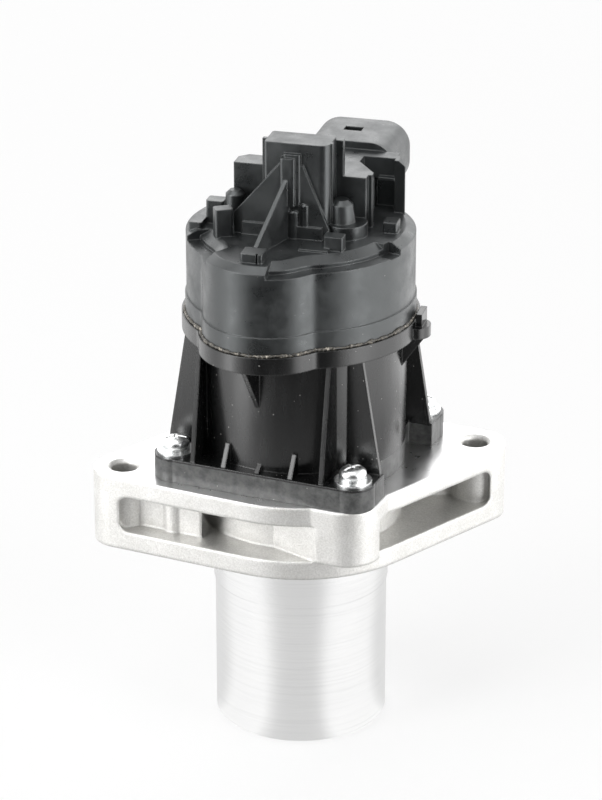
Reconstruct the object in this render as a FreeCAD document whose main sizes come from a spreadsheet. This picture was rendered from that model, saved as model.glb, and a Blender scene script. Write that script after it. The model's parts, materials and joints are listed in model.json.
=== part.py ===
import FreeCAD, Part
import math
import os

import Sketcher

# Exhaust gas recirculation valve with a motor, screw rod and poppet.
# Origin on the valve axis at the underside of the mounting flange, Z up, X along the front of
# the square motor foot, Y towards the plug socket. Lengths in millimetres, angles in degrees.

SIZES = {
    "fit": 0.05, "gap": 0.3, "skin": 0.02,
    "bolt_turn": 32.4, "cap_turn": 8.0,
    # Valve housing: flange and spigot
    "flange_height": 20.0, "bolt_reach": 46.5, "bolt_hole": 3.35, "bolt_sink": 0.9,
    "ear_radius": 8.0, "lens_radius": 34.4, "plate_height": 5.0, "foot_pad_grow": 0.7,
    "spigot_radius": 23.0, "spigot_relief": 0.35, "spigot_land": 14.0, "spigot_length": 53.7,
    "spigot_edge": 1.0, "neck_grow": 0.5, "neck_height": 5.0, "core_radius": 26.5,
    "wall_left": 13.8, "wall_left_in": 20.1, "wall_bend": 5.5, "wall_bend_in": 27.0,
    "wall_end": 17.0, "wall_side_in": 21.5, "wall_root": 20.0, "wall_root_in": 14.0,
    "boss_radius": 4.2, "slot_half": 49.0, "slot_round": 2.4,
    "hole_wall": 2.8, "side_slot_depth": 5.5, "side_slot_from": 28.5,
    "web_top": -3.0, "web_height": 12.0, "chamber_radius": 17.5,
    "seat_bore": 19.0, "seat_drop": 18.0, "seat_height": 5.0, "spring_room": 14.0,
    "window_width": 24.0, "window_margin": 1.5,
    # Gas side: seat, poppet, stem and its guide
    "seat_inner": 14.5, "seat_cone": 2.0, "head_radius": 17.0, "head_neck": 6.0,
    "head_rim": 1.3, "head_dish": 1.0, "head_rise": 3.0, "stem_radius": 3.0,
    "bush_radius": 5.0, "bush_collar": 7.0, "bush_collar_height": 1.5, "bush_length": 11.0,
    "seal_radius": 7.0, "seal_height": 3.2, "stroke": 7.5,
    "retainer_radius": 12.2, "retainer_height": 1.6, "retainer_drop": 3.5, "retainer_hub": 6.0,
    "retainer_hub_height": 5.0, "retainer_lip": 1.4,
    "spring_radius": 9.8, "spring_wire": 0.75, "spring_turns": 4.0,
    # Motor case
    "foot_width": 60.0, "foot_corner": 8.0, "foot_height": 6.4, "screw_clear": 2.4,
    "case_radius": 27.4, "case_draft": 0.2, "case_bore": 25.0, "case_height": 41.0,
    "rim_height": 4.5, "rim_grow": 1.3, "rim_round": 0.6, "floor_rise": 10.0, "under_rise": 2.0,
    "pilot_radius": 16.0, "pilot_height": 4.0, "side_cut_face": 23.5,
    "rib_thick": 1.2, "rib_place": 17.7, "rib_edge_low": 29.4, "rib_edge_high": 24.4,
    "rib_root": 20.0, "toe_height": 5.6, "toe_middle_height": 2.6, "toe_step": 9.2,
    "brow_height": 13.0, "brow_place": -0.4, "screw_pad_radius": 5.6,
    "lug_reach": 34.0, "lug_radius": 4.2, "lug_height": 2.9, "lug_turn": 9.0,
    "lug_block_height": 6.2, "lug_block_deep": 1.6, "lug_web_height": 8.0,
    "case_seal_inner": 17.6, "case_seal_width": 2.4, "case_seal_depth": 1.5,
    # Screws and washers of the motor foot
    "screw_radius": 2.0, "screw_depth": 10.6, "screw_head": 3.5, "screw_head_height": 2.6,
    "screw_head_side": 1.4, "screw_head_top": 2.5,
    "screw_hole": 2.25, "flat_washer": 4.85, "flat_washer_height": 0.8,
    "spring_washer": 3.6, "spring_washer_height": 0.9, "washer_split": 0.5,
    # Outline shared by cover, seam bead and case rim
    "cap_radius": 29.3, "lobe_radius": 16.5, "lobe_x": -0.9, "lobe_y": -18.8, "blend_radius": 5.5,
    # Motor cover shell
    "band_height": 5.0, "band_grow": 0.35, "bead_height": 0.9, "cover_height": 23.0,
    "ledge_drop": 2.6, "wall_drop": 1.4,
    "deck_thick": 2.5, "edge_inset": 2.5, "crown_inset": 3.4, "crown_step": 1.0,
    "crown_slope": 3.0, "cover_bore": 25.0, "lobe_bore": 12.8, "lobe_roof": 1.0,
    "right_from": -82.0, "right_to": -13.5, "left_from": -146.0, "left_to": -113.0,
    "notch_reach": 25.5, "notch_width": 4.0, "notch_length": 4.6, "notch_depth": 1.6,
    # Cover: sensor tower and plinth, in the turned frame of the cover
    "tower_left": -6.9, "tower_right": 9.6, "tower_front": -9.8, "tower_back": -1.3,
    "tower_rise": 24.5, "tower_round": 2.2, "tower_wall": 1.5, "tower_face_wall": 1.1,
    "tower_floor_rise": 2.0, "plinth_left": -12.4, "plinth_right": 8.4, "plinth_front": -11.4,
    "plinth_rise": 3.3, "fin_width": 1.5, "fin_depth": 1.2, "fin_place": -6.0, "fin_drop": 0.5,
    "guard_width": 1.7, "guard_depth": 1.8, "guard_drop": 1.1, "ridge_thick": 0.5,
    "ridge_depth": 1.4, "post_left": -2.3, "post_width": 3.7, "post_front": -11.9,
    "post_foot": 8.5, "post_rise": 21.1, "arch_left": -1.7, "arch_width": 4.3,
    "arch_front": -11.1, "arch_rise": 22.0, "gusset_thick": 1.0, "gusset_mid_u": -4.9,
    "gusset_mid_v": -25.6, "gusset_mid_rise": 17.0, "gable_front": -10.7, "gable_left": -14.6,
    "gable_left_foot": 5.5, "gable_right": 10.2, "gable_right_foot": 2.4,
    "gable_top_left": -2.8, "gable_top_right": 3.2, "gable_rise": 19.2,
    "peg_u": 0.7, "peg_v": -10.2, "peg_radius": 1.7, "peg_rise": 7.4,
    "small_peg_u": 3.7, "small_peg_radius": 1.1, "small_peg_rise": 9.2, "peg_chamfer": 0.5,
    # Cover: blocks round the deck
    "plateau_left": -8.5, "plateau_right": 17.2, "plateau_rise": 14.0, "plateau_back": 19.9,
    "box_left": -17.0, "box_right": -8.5, "box_front": -2.2, "box_back": 4.6, "box_rise": 15.6,
    "box_corner": 2.2, "stud_u": -16.0, "stud_v": -4.6, "stud_radius": 2.9, "stud_rise": 9.2,
    "stud_round": 1.0, "pocket_left": 12.6, "pocket_middle": 10.8,
    "pocket_back": 15.2, "fence_inner": 21.0, "fence_front": 13.7, "fence_inset": 1.8,
    "fence_flat": 1.0, "fence_fall": 6.0, "shelf_left": 16.7, "shelf_rise": 9.2,
    "shelf_height": 0.8, "shelf_depth": 1.6, "niche_left": 15.4, "niche_depth": 3.0,
    "rail_thick": 0.9, "rail_front": 1.3, "rail_back": 3.2,
    "disc_u": 13.0, "disc_v": -4.6, "disc_radius": 5.4, "disc_rise": 3.4, "dome_u": 11.8,
    "dome_radius": 3.5, "dome_crown": 2.9, "dome_rise": 9.2, "dome_round": 1.2,
    "left_block_u": -17.9, "left_block_v": -15.8, "left_block_turn": 30.0,
    "left_block_wide": 4.5, "left_block_deep": 3.4, "left_block_rise": 7.2,
    "rear_block_u": -23.4, "rear_block_v": -6.0, "rear_block_wide": 4.6,
    "rear_block_deep": 4.0, "rear_block_rise": 6.0, "side_wedge_rise": 1.6,
    "side_wedge_u": -26.8, "side_wedge_v": -10.6, "side_wedge_wide": 3.6,
    "side_wedge_deep": 6.4, "front_block_u": -7.4, "front_block_v": -30.9,
    "front_block_wide": 5.6, "front_block_deep": 5.2, "front_block_rise": 2.3,
    "front_block_split": 4.0, "split_width": 0.5, "split_depth": 1.2,
    "right_block_u": 10.3, "right_block_v": -17.6, "right_block_wide": 5.0,
    "right_block_deep": 3.6, "right_block_rise": 3.6, "side_block_u": 21.7,
    "side_block_v": -1.8, "side_block_wide": 3.7, "side_block_deep": 4.4,
    "side_block_rise": 2.8, "pad_u": 4.4, "pad_v": -19.6, "pad_wide": 7.6, "pad_deep": 5.4,
    "pad_rise": 0.6, "block_round": 0.6,
    # Cover: plug socket and its blades
    "socket_u": 7.0, "socket_rise": 7.6, "socket_half_width": 12.3, "socket_half_height": 8.4,
    "socket_round": 6.4, "socket_end": 38.4, "socket_wall": 1.8, "socket_floor": 24.0,
    "latch_width": 4.8, "latch_from": 28.4, "latch_length": 3.0, "latch_shift": -0.8,
    "blade_count": 5, "blade_pitch": 3.4, "blade_width": 1.5, "blade_thick": 0.8,
    "blade_from": 16.0, "blade_to": 34.5,
    # Motor: yoke, magnets, rotor, commutator and bearings
    "yoke_wall": 2.5, "yoke_lift": 4.0, "yoke_proud": 1.0, "magnet_wall": 4.1,
    "magnet_lift": 3.0, "magnet_drop": 2.0, "magnet_count": 4, "magnet_arc": 72.0,
    "magnet_first": 9.0,
    "core_outer": 17.4, "core_lift": 2.0, "core_drop": 3.0, "tooth_count": 12,
    "coil_radius": 2.3, "coil_place": 13.2, "slot_mouth": 1.4, "end_turn_inner": 8.8,
    "end_turn_outer": 16.6, "end_turn_height": 2.6, "end_turn_round": 1.0,
    "sleeve_radius": 6.5, "sleeve_proud": 0.4, "sleeve_tail": 1.0, "sleeve_bore": 5.0,
    "nut_lift": 9.0, "nut_length": 8.0, "commutator_radius": 9.5, "commutator_length": 8.0,
    "bar_split": 0.5, "bar_split_depth": 0.8,
    "bearing_outer": 11.0, "bearing_height": 5.0, "bearing_dish": 0.5, "bearing_race": 1.4,
    "bearing_lift": 1.0, "bearing_roof": 3.5, "bearing_cup_wall": 2.5,
    # Brush gear
    "holder_outer": 24.6, "holder_inner": 11.0, "holder_height": 1.8, "brush_width": 5.0,
    "brush_height": 4.0, "brush_length": 9.0, "brush_lift": 0.9, "box_wall": 1.0,
    "brush_box_from": 11.4, "brush_box_to": 23.6, "leaf_thick": 0.3,
    "leaf_half_height": 1.6, "leaf_half_width": 1.9,
    # Screw rod, guide and position sensor
    "rod_radius": 4.0, "rod_flat": 3.1, "rod_lift": 1.0, "rod_spare": 2.5,
    "rod_pin": 2.5, "rod_tail": 1.4, "rod_chamfer": 0.6, "guide_radius": 6.4,
    "guide_length": 7.0, "plunger_pin": 2.5, "plunger_head": 6.4, "plunger_head_height": 1.2,
    "plunger_length": 8.0, "sensor_room": 6.5, "sensor_room_rise": 12.3, "magnet_ring": 5.0,
    "magnet_ring_height": 3.0, "sensor_spring_radius": 4.0, "sensor_spring_wire": 0.3,
    "sensor_spring_turns": 3.0, "board_thick": 1.2, "board_height": 20.0,
    "chip_width": 6.0, "chip_height": 5.0, "chip_thick": 0.8, "chip_lift": 0.6,
}

doc = FreeCAD.newDocument("ExhaustGasValve")
sheet = doc.addObject("Spreadsheet::Sheet", "Sizes")
for row, (alias, number) in enumerate(SIZES.items(), start=1):
    sheet.set("A%d" % row, alias)
    sheet.set("B%d" % row, str(number))
    sheet.setAlias("B%d" % row, alias)
doc.recompute()


class Size:
    """A number kept together with the sheet formula that gives it."""

    def __init__(self, number, formula):
        self.number = number
        self.formula = formula

    def __add__(self, other):
        other = size(other)
        return Size(self.number + other.number, "(%s + %s)" % (self.formula, other.formula))

    def __sub__(self, other):
        other = size(other)
        return Size(self.number - other.number, "(%s - %s)" % (self.formula, other.formula))

    def __mul__(self, other):
        other = size(other)
        return Size(self.number * other.number, "(%s * %s)" % (self.formula, other.formula))

    def __truediv__(self, other):
        other = size(other)
        return Size(self.number / other.number, "(%s / %s)" % (self.formula, other.formula))

    def __radd__(self, other):
        return size(other) + self

    def __rsub__(self, other):
        return size(other) - self

    def __rmul__(self, other):
        return size(other) * self

    def __rtruediv__(self, other):
        return size(other) / self

    def __neg__(self):
        return Size(-self.number, "(0 - %s)" % self.formula)


def size(value):
    """A plain number as a Size."""
    return value if isinstance(value, Size) else Size(float(value), repr(float(value)))


class Named:
    """Reads the sheet's values by name."""

    def __getattr__(self, alias):
        return Size(float(sheet.get(alias)), "Sizes." + alias)


N = Named()
ORIGIN = FreeCAD.Vector(0, 0, 0)
UP = FreeCAD.Vector(0, 0, 1)
FULL_TURN, HALF_TURN, QUARTER_TURN, CORNER_TURN = 360, 180, 90, 45


def bind(thing, **values):
    """Binds properties to formulas; a double underscore in a name stands for a dot."""
    for name, value in values.items():
        thing.setExpression(name.replace("__", "."), size(value).formula)
    return thing


def place(thing, x=0, y=0, z=0, turn=None, axis=UP):
    """Places an object by formulas and turns it about an axis."""
    turn = size(0) if turn is None else turn
    spin = FreeCAD.Rotation(axis, turn.number)
    thing.Placement = FreeCAD.Placement(ORIGIN, spin)
    bind(thing, Placement__Base__x=x, Placement__Base__y=y, Placement__Base__z=z)
    if turn.number:
        bind(thing, Placement__Rotation__Angle=turn)
    return thing


def made(kind, label):
    thing = doc.addObject(kind, label)
    thing.Label = label
    return thing


def cylinder(label, radius, height, x=0, y=0, z=0, turn=None, axis=UP):
    thing = bind(made("Part::Cylinder", label), Radius=radius, Height=height)
    return place(thing, x, y, z, turn, axis)


def cone(label, low, high, height, x=0, y=0, z=0):
    thing = bind(made("Part::Cone", label), Radius1=low, Radius2=high, Height=height)
    return place(thing, x, y, z)


def block(label, x, y, z, turn=None):
    """A box from three (from, to) pairs; a turned one pivots on its low corner."""
    (x0, x1), (y0, y1), (z0, z1) = x, y, z
    thing = made("Part::Box", label)
    bind(thing, Length=size(x1) - x0, Width=size(y1) - y0, Height=size(z1) - z0)
    return place(thing, x0, y0, z0, turn)


def fuse(label, *shapes):
    """Joins shapes; a single one is only wrapped, so that it can be placed again."""
    if len(shapes) == 1:
        return together(label, *shapes)
    thing = made("Part::MultiFuse", label)
    thing.Shapes = list(shapes)
    thing.Refine = True
    return thing


def cut(label, base, *tools):
    thing = made("Part::Cut", label)
    thing.Base = base
    thing.Tool = tools[0] if len(tools) == 1 else fuse(label + "_tools", *tools)
    thing.Refine = True
    return thing


def common(label, *shapes):
    thing = made("Part::MultiCommon", label)
    thing.Shapes = list(shapes)
    return thing


def together(label, *shapes):
    """Separate solids kept side by side in one sub-part."""
    thing = made("Part::Compound", label)
    thing.Links = list(shapes)
    return thing


def sketch_in(body, role, lift=0):
    """A sketch on one of the body's own origin planes, raised along its normal."""
    plane = next(item for item in body.Origin.OriginFeatures if item.Role == role)
    sketch = body.newObject("Sketcher::SketchObject", body.Name + "_sketch")
    sketch.AttachmentSupport = [(plane, "")]
    sketch.MapMode = "FlatFace"
    bind(sketch, AttachmentOffset__Base__z=lift)
    return sketch


def hold(sketch, kind, first, first_end, second, second_end, value):
    """Adds a driving dimension whose value is a formula."""
    value = size(value)
    spot = [first, first_end] if second is None else [first, first_end, second, second_end]
    if second is None and first_end is None:
        spot = [first]
    index = sketch.addConstraint(Sketcher.Constraint(kind, *spot, value.number))
    sketch.setExpression("Constraints[%d]" % index, value.formula)


def polygon(sketch, points):
    """Straight lines through corners that are held by their distances from the origin."""
    corners = [(size(x), size(y)) for x, y in points]
    spots = [FreeCAD.Vector(x.number, y.number, 0) for x, y in corners]
    for here, there in zip(spots, spots[1:] + spots[:1]):
        sketch.addGeometry(Part.LineSegment(here, there))
    for index, (x, y) in enumerate(corners):
        following = (index + 1) % len(corners)
        sketch.addConstraint(Sketcher.Constraint("Coincident", index, 2, following, 1))
        hold(sketch, "DistanceX", -1, 1, index, 1, x)
        hold(sketch, "DistanceY", -1, 1, index, 1, y)


def add_arc(sketch, centre, radius, start, end):
    """An arc, counter-clockwise between two angles, with its centre and radius held."""
    x, y = centre
    middle = FreeCAD.Vector(x.number, y.number, 0)
    if end < start:
        end += 2 * math.pi
    arc = Part.ArcOfCircle(Part.Circle(middle, UP, radius.number), start, end)
    return sketch.addGeometry(arc)


def hold_arc(sketch, index, centre, radius):
    hold(sketch, "DistanceX", -1, 1, index, 3, centre[0])
    hold(sketch, "DistanceY", -1, 1, index, 3, centre[1])
    hold(sketch, "Radius", index, None, None, None, radius)


def belt(sketch, circles):
    """A band drawn tight round circles given counter-clockwise as (x, y, radius)."""
    rounds = [(size(x), size(y), size(radius)) for x, y, radius in circles]
    normals = []
    for (x0, y0, r0), (x1, y1, r1) in zip(rounds, rounds[1:] + rounds[:1]):
        dx, dy = x1.number - x0.number, y1.number - y0.number
        lean = math.acos((r0.number - r1.number) / math.hypot(dx, dy))
        normals.append(math.atan2(dy, dx) - lean)
    arcs = []
    for index, (x, y, radius) in enumerate(rounds):
        arcs.append(add_arc(sketch, (x, y), radius, normals[index - 1], normals[index]))
    for index, normal in enumerate(normals):
        following = (index + 1) % len(rounds)
        ends = []
        for x, y, radius in (rounds[index], rounds[following]):
            ends.append(FreeCAD.Vector(x.number + radius.number * math.cos(normal),
                                       y.number + radius.number * math.sin(normal), 0))
        line = sketch.addGeometry(Part.LineSegment(*ends))
        sketch.addConstraint(Sketcher.Constraint("Tangent", arcs[index], 2, line, 1))
        sketch.addConstraint(Sketcher.Constraint("Tangent", line, 2, arcs[following], 1))
    for index, (x, y, radius) in enumerate(rounds):
        hold_arc(sketch, arcs[index], (x, y), radius)


def rounded(sketch, x0, x1, y0, y1, radius):
    """A rectangle with round corners."""
    x0, x1, y0, y1 = size(x0) + radius, size(x1) - radius, size(y0) + radius, size(y1) - radius
    belt(sketch, [(x1, y0, radius), (x1, y1, radius), (x0, y1, radius), (x0, y0, radius)])


def lobed(sketch, grow=0):
    """The cap outline: a circle with a front lobe run in by two hollow blends."""
    big, small, blend = N.cap_radius + grow, N.lobe_radius + grow, N.blend_radius - grow
    lobe = (N.lobe_x, N.lobe_y)
    reach = math.hypot(lobe[0].number, lobe[1].number)
    toward = math.atan2(lobe[1].number, lobe[0].number)
    near, far = big.number + blend.number, small.number + blend.number
    swing = math.acos((near ** 2 + reach ** 2 - far ** 2) / (2 * near * reach))
    sides = {}
    for name, angle in (("left", toward - swing), ("right", toward + swing)):
        x, y = near * math.cos(angle), near * math.sin(angle)
        to_big = math.atan2(-y, -x)
        to_lobe = math.atan2(lobe[1].number - y, lobe[0].number - x)
        sides[name] = (Size(x, str(x)), Size(y, str(y)), to_big, to_lobe)
    half = math.pi
    left, right = sides["left"], sides["right"]
    main = add_arc(sketch, (size(0), size(0)), big, right[2] - half, left[2] + half)
    bulge = add_arc(sketch, lobe, small, left[3] - half, right[3] + half)
    left_arc = add_arc(sketch, left[:2], blend, left[3], left[2])
    right_arc = add_arc(sketch, right[:2], blend, right[2], right[3])
    for first, first_end, second, second_end in (
            (main, 2, left_arc, 2), (left_arc, 1, bulge, 1),
            (bulge, 2, right_arc, 2), (right_arc, 1, main, 1)):
        sketch.addConstraint(
            Sketcher.Constraint("Tangent", first, first_end, second, second_end))
    sketch.addConstraint(Sketcher.Constraint("Coincident", main, 3, -1, 1))
    hold(sketch, "Radius", main, None, None, None, big)
    hold_arc(sketch, bulge, lobe, small)
    for arc in (left_arc, right_arc):
        hold(sketch, "Radius", arc, None, None, None, blend)


def prism(label, outline, low, height, slope=None):
    """A body padded upwards from an outline; slope is how far its top draws in."""
    body = made("PartDesign::Body", label)
    sketch = sketch_in(body, "XY_Plane", low)
    outline(sketch)
    pad = body.newObject("PartDesign::Pad", label + "_pad")
    pad.Profile = sketch
    bind(pad, Length=height)
    if slope is not None:
        formula = "-atan(%s / %s)" % (size(slope).formula, size(height).formula)
        pad.setExpression("TaperAngle", formula)
    sketch.Visibility = False
    return body


def turned(label, points):
    """A body turned about Z from a profile of (radius, height) corners."""
    body = made("PartDesign::Body", label)
    sketch = sketch_in(body, "XZ_Plane")
    polygon(sketch, points)
    spin = body.newObject("PartDesign::Revolution", label + "_turn")
    spin.Profile = sketch
    spin.ReferenceAxis = (sketch, ["V_Axis"])
    spin.Angle = FULL_TURN
    sketch.Visibility = False
    return body


def upright(label, points, thick, x=0, y=0, turn=None):
    """A thin upright plate, its profile drawn as (distance outwards, height)."""
    body = made("PartDesign::Body", label)
    sketch = sketch_in(body, "XZ_Plane", -(size(thick) / 2))
    polygon(sketch, points)
    pad = body.newObject("PartDesign::Pad", label + "_pad")
    pad.Profile = sketch
    bind(pad, Length=thick)
    sketch.Visibility = False
    return place(body, x, y, 0, turn)


def run_along(label, outline, start, end):
    """A body with an upright section, drawn as (x, z), run along Y."""
    body = made("PartDesign::Body", label)
    sketch = sketch_in(body, "XZ_Plane", -end)
    outline(sketch)
    pad = body.newObject("PartDesign::Pad", label + "_pad")
    pad.Profile = sketch
    bind(pad, Length=end - start)
    sketch.Visibility = False
    return body


def ring(label, inner, outer, low, high):
    return turned(label, [(inner, low), (outer, low), (outer, high), (inner, high)])


def coil(label, radius, wire, low, high, turns):
    """A wire of six-sided section wound from one seat to the other."""
    rise = size(high) - low - 2 * wire
    helix = made("Part::Helix", label + "_path")
    bind(helix, Radius=radius, Height=rise, Pitch=rise / turns)
    place(helix, 0, 0, size(low) + wire)
    loop = bind(made("Part::RegularPolygon", label + "_wire"), Circumradius=wire)
    loop.Polygon = 6
    place(loop, radius, 0, size(low) + wire, size(QUARTER_TURN),
          FreeCAD.Vector(1, 0, 0))
    doc.recompute()
    thing = made("Part::Sweep", label)
    thing.Sections = [loop]
    thing.Spine = (helix, ["Edge%d" % (i + 1) for i in range(len(helix.Shape.Edges))])
    thing.Solid = True
    thing.Frenet = True
    return thing


def wedge(label, radius, height, start, end, z):
    """A pie slice about the axis between two angles."""
    whole = cylinder(label, radius, height, 0, 0, z, start)
    return bind(whole, Angle=end - start)


def knob(label, x, y, low, radius, crown, chamfer, high):
    """A peg that tapers from one radius to another, with a chamfered crown."""
    return place(turned(label, [
        (0, low), (radius, low), (crown, high - chamfer), (crown - chamfer, high), (0, high)]),
        x, y)


def over_deck(rise):
    return deck_top + rise


# Levels from the flange up, each set from the part that carries it
seat_top = N.web_top - N.web_height - N.seat_drop
stem_top = N.flange_height + N.rod_lift - N.gap
retainer_top = stem_top - N.retainer_drop
case_under = N.flange_height + N.under_rise
case_floor = N.flange_height + N.floor_rise
case_top = N.flange_height + N.case_height
deck_top = case_top + N.cover_height
deck_under = deck_top - N.deck_thick
lobe_bore_top = deck_under - N.lobe_roof
ledge_top = deck_top - N.ledge_drop
wall_top = deck_top - N.wall_drop
yoke_from = case_floor + N.yoke_lift
yoke_to = case_top + N.yoke_proud
magnet_from = yoke_from + N.magnet_lift
magnet_to = yoke_to - N.magnet_drop
core_from = magnet_from + N.core_lift
core_to = magnet_to - N.core_drop
lower_bearing_from = case_floor + N.bearing_lift
upper_bearing_from = deck_under - N.bearing_roof - N.bearing_height
sleeve_from = lower_bearing_from - N.sleeve_proud
sleeve_to = upper_bearing_from + N.bearing_height + N.sleeve_tail
nut_from = core_from + N.nut_lift
nut_to = nut_from + N.nut_length
commutator_from = yoke_to
commutator_to = commutator_from + N.commutator_length
rod_from = N.flange_height + N.rod_lift
rod_shoulder = nut_to + N.stroke + N.rod_spare
rod_to = deck_under + N.rod_tail
plunger_top = rod_to + N.gap + N.plunger_length
socket_z = over_deck(N.socket_rise)
chip_low = over_deck(N.tower_floor_rise) + N.chip_lift


# Valve housing: cast flange, turned to the bolt line
seat_bottom = seat_top - N.seat_height
web_bottom = N.web_top - N.web_height
slot_low = N.plate_height
slot_height = N.flange_height - 2 * N.plate_height
ears = [(N.bolt_reach, 0, N.ear_radius), (0, 0, N.lens_radius),
        (-N.bolt_reach, 0, N.ear_radius), (0, 0, N.lens_radius)]
flange_reach = N.bolt_reach + N.ear_radius + N.gap
lens = prism("flange_lens", lambda s: belt(s, ears), 0, N.flange_height)
slot_space = run_along("slot_space", lambda s: rounded(
    s, -N.slot_half, N.slot_half, slot_low, slot_low + slot_height, N.slot_round),
    -flange_reach, flange_reach)
keep = [cylinder("slot_core", N.core_radius, slot_height, z=slot_low)]
for side in (-1, 1):
    keep.append(cylinder("hole_boss", N.bolt_hole + N.hole_wall, slot_height,
                         side * N.bolt_reach, 0, slot_low))
edge_lean = Size(
    math.degrees(math.asin((N.lens_radius - N.ear_radius).number / N.bolt_reach.number)),
    "(asin((%s - %s) / %s) / 1 deg)" % (N.lens_radius.formula, N.ear_radius.formula,
                              N.bolt_reach.formula))
side_slot_floor = N.lens_radius - N.side_slot_depth
for side in (0, HALF_TURN):
    floor_wall = block("side_slot_floor", (-flange_reach, side_slot_floor),
                       (-flange_reach, flange_reach), (slot_low, slot_low + slot_height))
    leaning = fuse("side_slot_floor_seat", floor_wall)
    place(leaning, turn=-QUARTER_TURN - edge_lean)
    shallow = block("side_slot_span", (-flange_reach, -N.side_slot_from), (-flange_reach, 0),
                    (slot_low, slot_low + slot_height))
    keep.append(place(fuse("side_slot_keep", common("side_slot_part", leaning, shallow)),
                      turn=size(side)))
slots = place(cut("flange_slots", slot_space, *keep), turn=N.bolt_turn)
holes = []
for side in (-1, 1):
    x = side * N.bolt_reach
    holes.append(cylinder("bolt_hole", N.bolt_hole, N.flange_height, x))
    holes.append(cone("bolt_hole_sink", N.bolt_hole, N.bolt_hole + N.bolt_sink, N.bolt_sink,
                      x, 0, N.flange_height - N.bolt_sink))
flange = place(cut("flange_drilled", lens, *holes), turn=N.bolt_turn)
half_foot = N.foot_width / 2
pad_edge = half_foot + N.foot_pad_grow
pad_line = lambda s: rounded(
    s, -pad_edge, pad_edge, -pad_edge, pad_edge, N.foot_corner + N.foot_pad_grow)
foot_pad = prism("flange_foot_pad", pad_line, slot_low + slot_height, N.plate_height)
walls = []
for turn in (0, HALF_TURN):
    wall_form = prism("foot_wall_form", lambda s: polygon(s, [
        (0, 0), (-N.wall_left, -N.wall_left / 2), (-N.wall_left, -N.wall_left_in),
        (N.wall_bend, -N.wall_bend_in), (N.wall_end, -pad_edge), (pad_edge, -pad_edge),
        (pad_edge, -N.wall_side_in), (N.wall_root, -N.wall_root_in)]), slot_low, slot_height)
    under_pad = prism("foot_wall_line", pad_line, slot_low, slot_height)
    walls.append(place(common("foot_wall", wall_form, under_pad), turn=size(turn)))
corner = (N.case_radius + N.flat_washer + N.screw_clear) / math.sqrt(2)
bosses = []
for x_side in (-1, 1):
    for y_side in (-1, 1):
        bosses.append(cylinder("screw_boss", N.boss_radius, N.flange_height - slot_low,
                               x_side * corner, y_side * corner, slot_low))
rough = fuse("housing_rough", cut("flange_slotted", flange, slots), foot_pad, *walls, *bosses)
seal_top = N.flange_height - N.case_seal_depth
neck_radius = N.spigot_radius + N.neck_grow
bores = [
    cylinder("pilot_bore", N.pilot_radius + N.fit, N.pilot_height,
             z=N.flange_height - N.pilot_height),
    cylinder("spring_bore", N.spring_room, N.flange_height),
    cylinder("neck_bore", neck_radius + N.skin, N.neck_height),
    ring("seal_groove", N.case_seal_inner, N.case_seal_inner + N.case_seal_width,
         seal_top, N.flange_height),
]
screw_low = N.flange_height + N.foot_height + N.flat_washer_height + N.spring_washer_height
corners = [(x * corner, y * corner) for x in (-1, 1) for y in (-1, 1)]
tapped = [cylinder("tapped_hole", N.screw_radius + N.skin, N.screw_depth + N.gap, x, y,
                   N.flange_height - N.screw_depth - N.gap) for x, y in corners]
valve_housing = cut("valve_housing", rough, *bores, *tapped)

# Turned spigot, its neck pressed into the flange; it carries the web, seat bore and gas window
spigot_form = turned("spigot_form", [
    (N.bush_radius, web_bottom), (N.chamber_radius, web_bottom), (N.chamber_radius, seat_top),
    (N.seat_bore, seat_top), (N.seat_bore, -N.spigot_length),
    (N.spigot_radius - N.spigot_relief - N.spigot_edge, -N.spigot_length),
    (N.spigot_radius - N.spigot_relief, N.spigot_edge - N.spigot_length),
    (N.spigot_radius - N.spigot_relief, -N.spigot_land), (N.spigot_radius, -N.spigot_land),
    (N.spigot_radius, 0), (neck_radius, 0), (neck_radius, N.neck_height - N.skin),
    (N.spring_room, N.neck_height - N.skin), (N.spring_room, N.web_top),
    (N.bush_radius, N.web_top)])
window = place(together("outlet_window_turned", block(
    "outlet_window", (-N.window_width / 2, N.window_width / 2),
    (0, N.spigot_radius + N.spigot_edge),
    (seat_top + N.window_margin, web_bottom - N.window_margin))), turn=N.bolt_turn)
spigot_tube = cut("spigot_tube", spigot_form, window)

# Valve seat ring, pressed into the spigot from below, its cone facing down
seat_low_inner = N.seat_inner + N.seat_cone
valve_seat = turned("valve_seat", [
    (N.seat_inner, seat_top), (N.seat_bore, seat_top), (N.seat_bore, seat_bottom),
    (seat_low_inner, seat_bottom), (N.seat_inner, seat_bottom + N.seat_cone)])

# Poppet on its stem; the cone of the head runs level with the seat's, one gap below it
cone_drop = N.gap * math.sqrt(2)
head_top = seat_bottom + N.seat_cone + N.head_dish - cone_drop
head_edge = head_top - (N.head_radius - N.seat_inner + N.head_dish)
valve_head = turned("valve_head", [
    (0, head_edge - N.head_rim), (N.head_radius - N.head_rim, head_edge - N.head_rim),
    (N.head_radius, head_edge), (N.seat_inner - N.head_dish, head_top),
    (N.head_neck, head_top + N.head_dish), (N.stem_radius, head_top + N.head_rise),
    (0, head_top + N.head_rise)])
valve_stem = turned("valve_stem", [
    (0, head_top + N.head_rise), (N.stem_radius, head_top + N.head_rise),
    (N.stem_radius, stem_top - N.rod_chamfer), (N.stem_radius - N.rod_chamfer, stem_top),
    (0, stem_top)])
stem_bore = N.stem_radius + N.fit
stem_bush = turned("stem_bush", [
    (stem_bore, N.web_top - N.bush_length), (N.bush_radius, N.web_top - N.bush_length),
    (N.bush_radius, N.web_top), (N.bush_collar, N.web_top),
    (N.bush_collar, N.web_top + N.bush_collar_height),
    (stem_bore, N.web_top + N.bush_collar_height)])
seal_low = N.web_top + N.bush_collar_height
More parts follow.
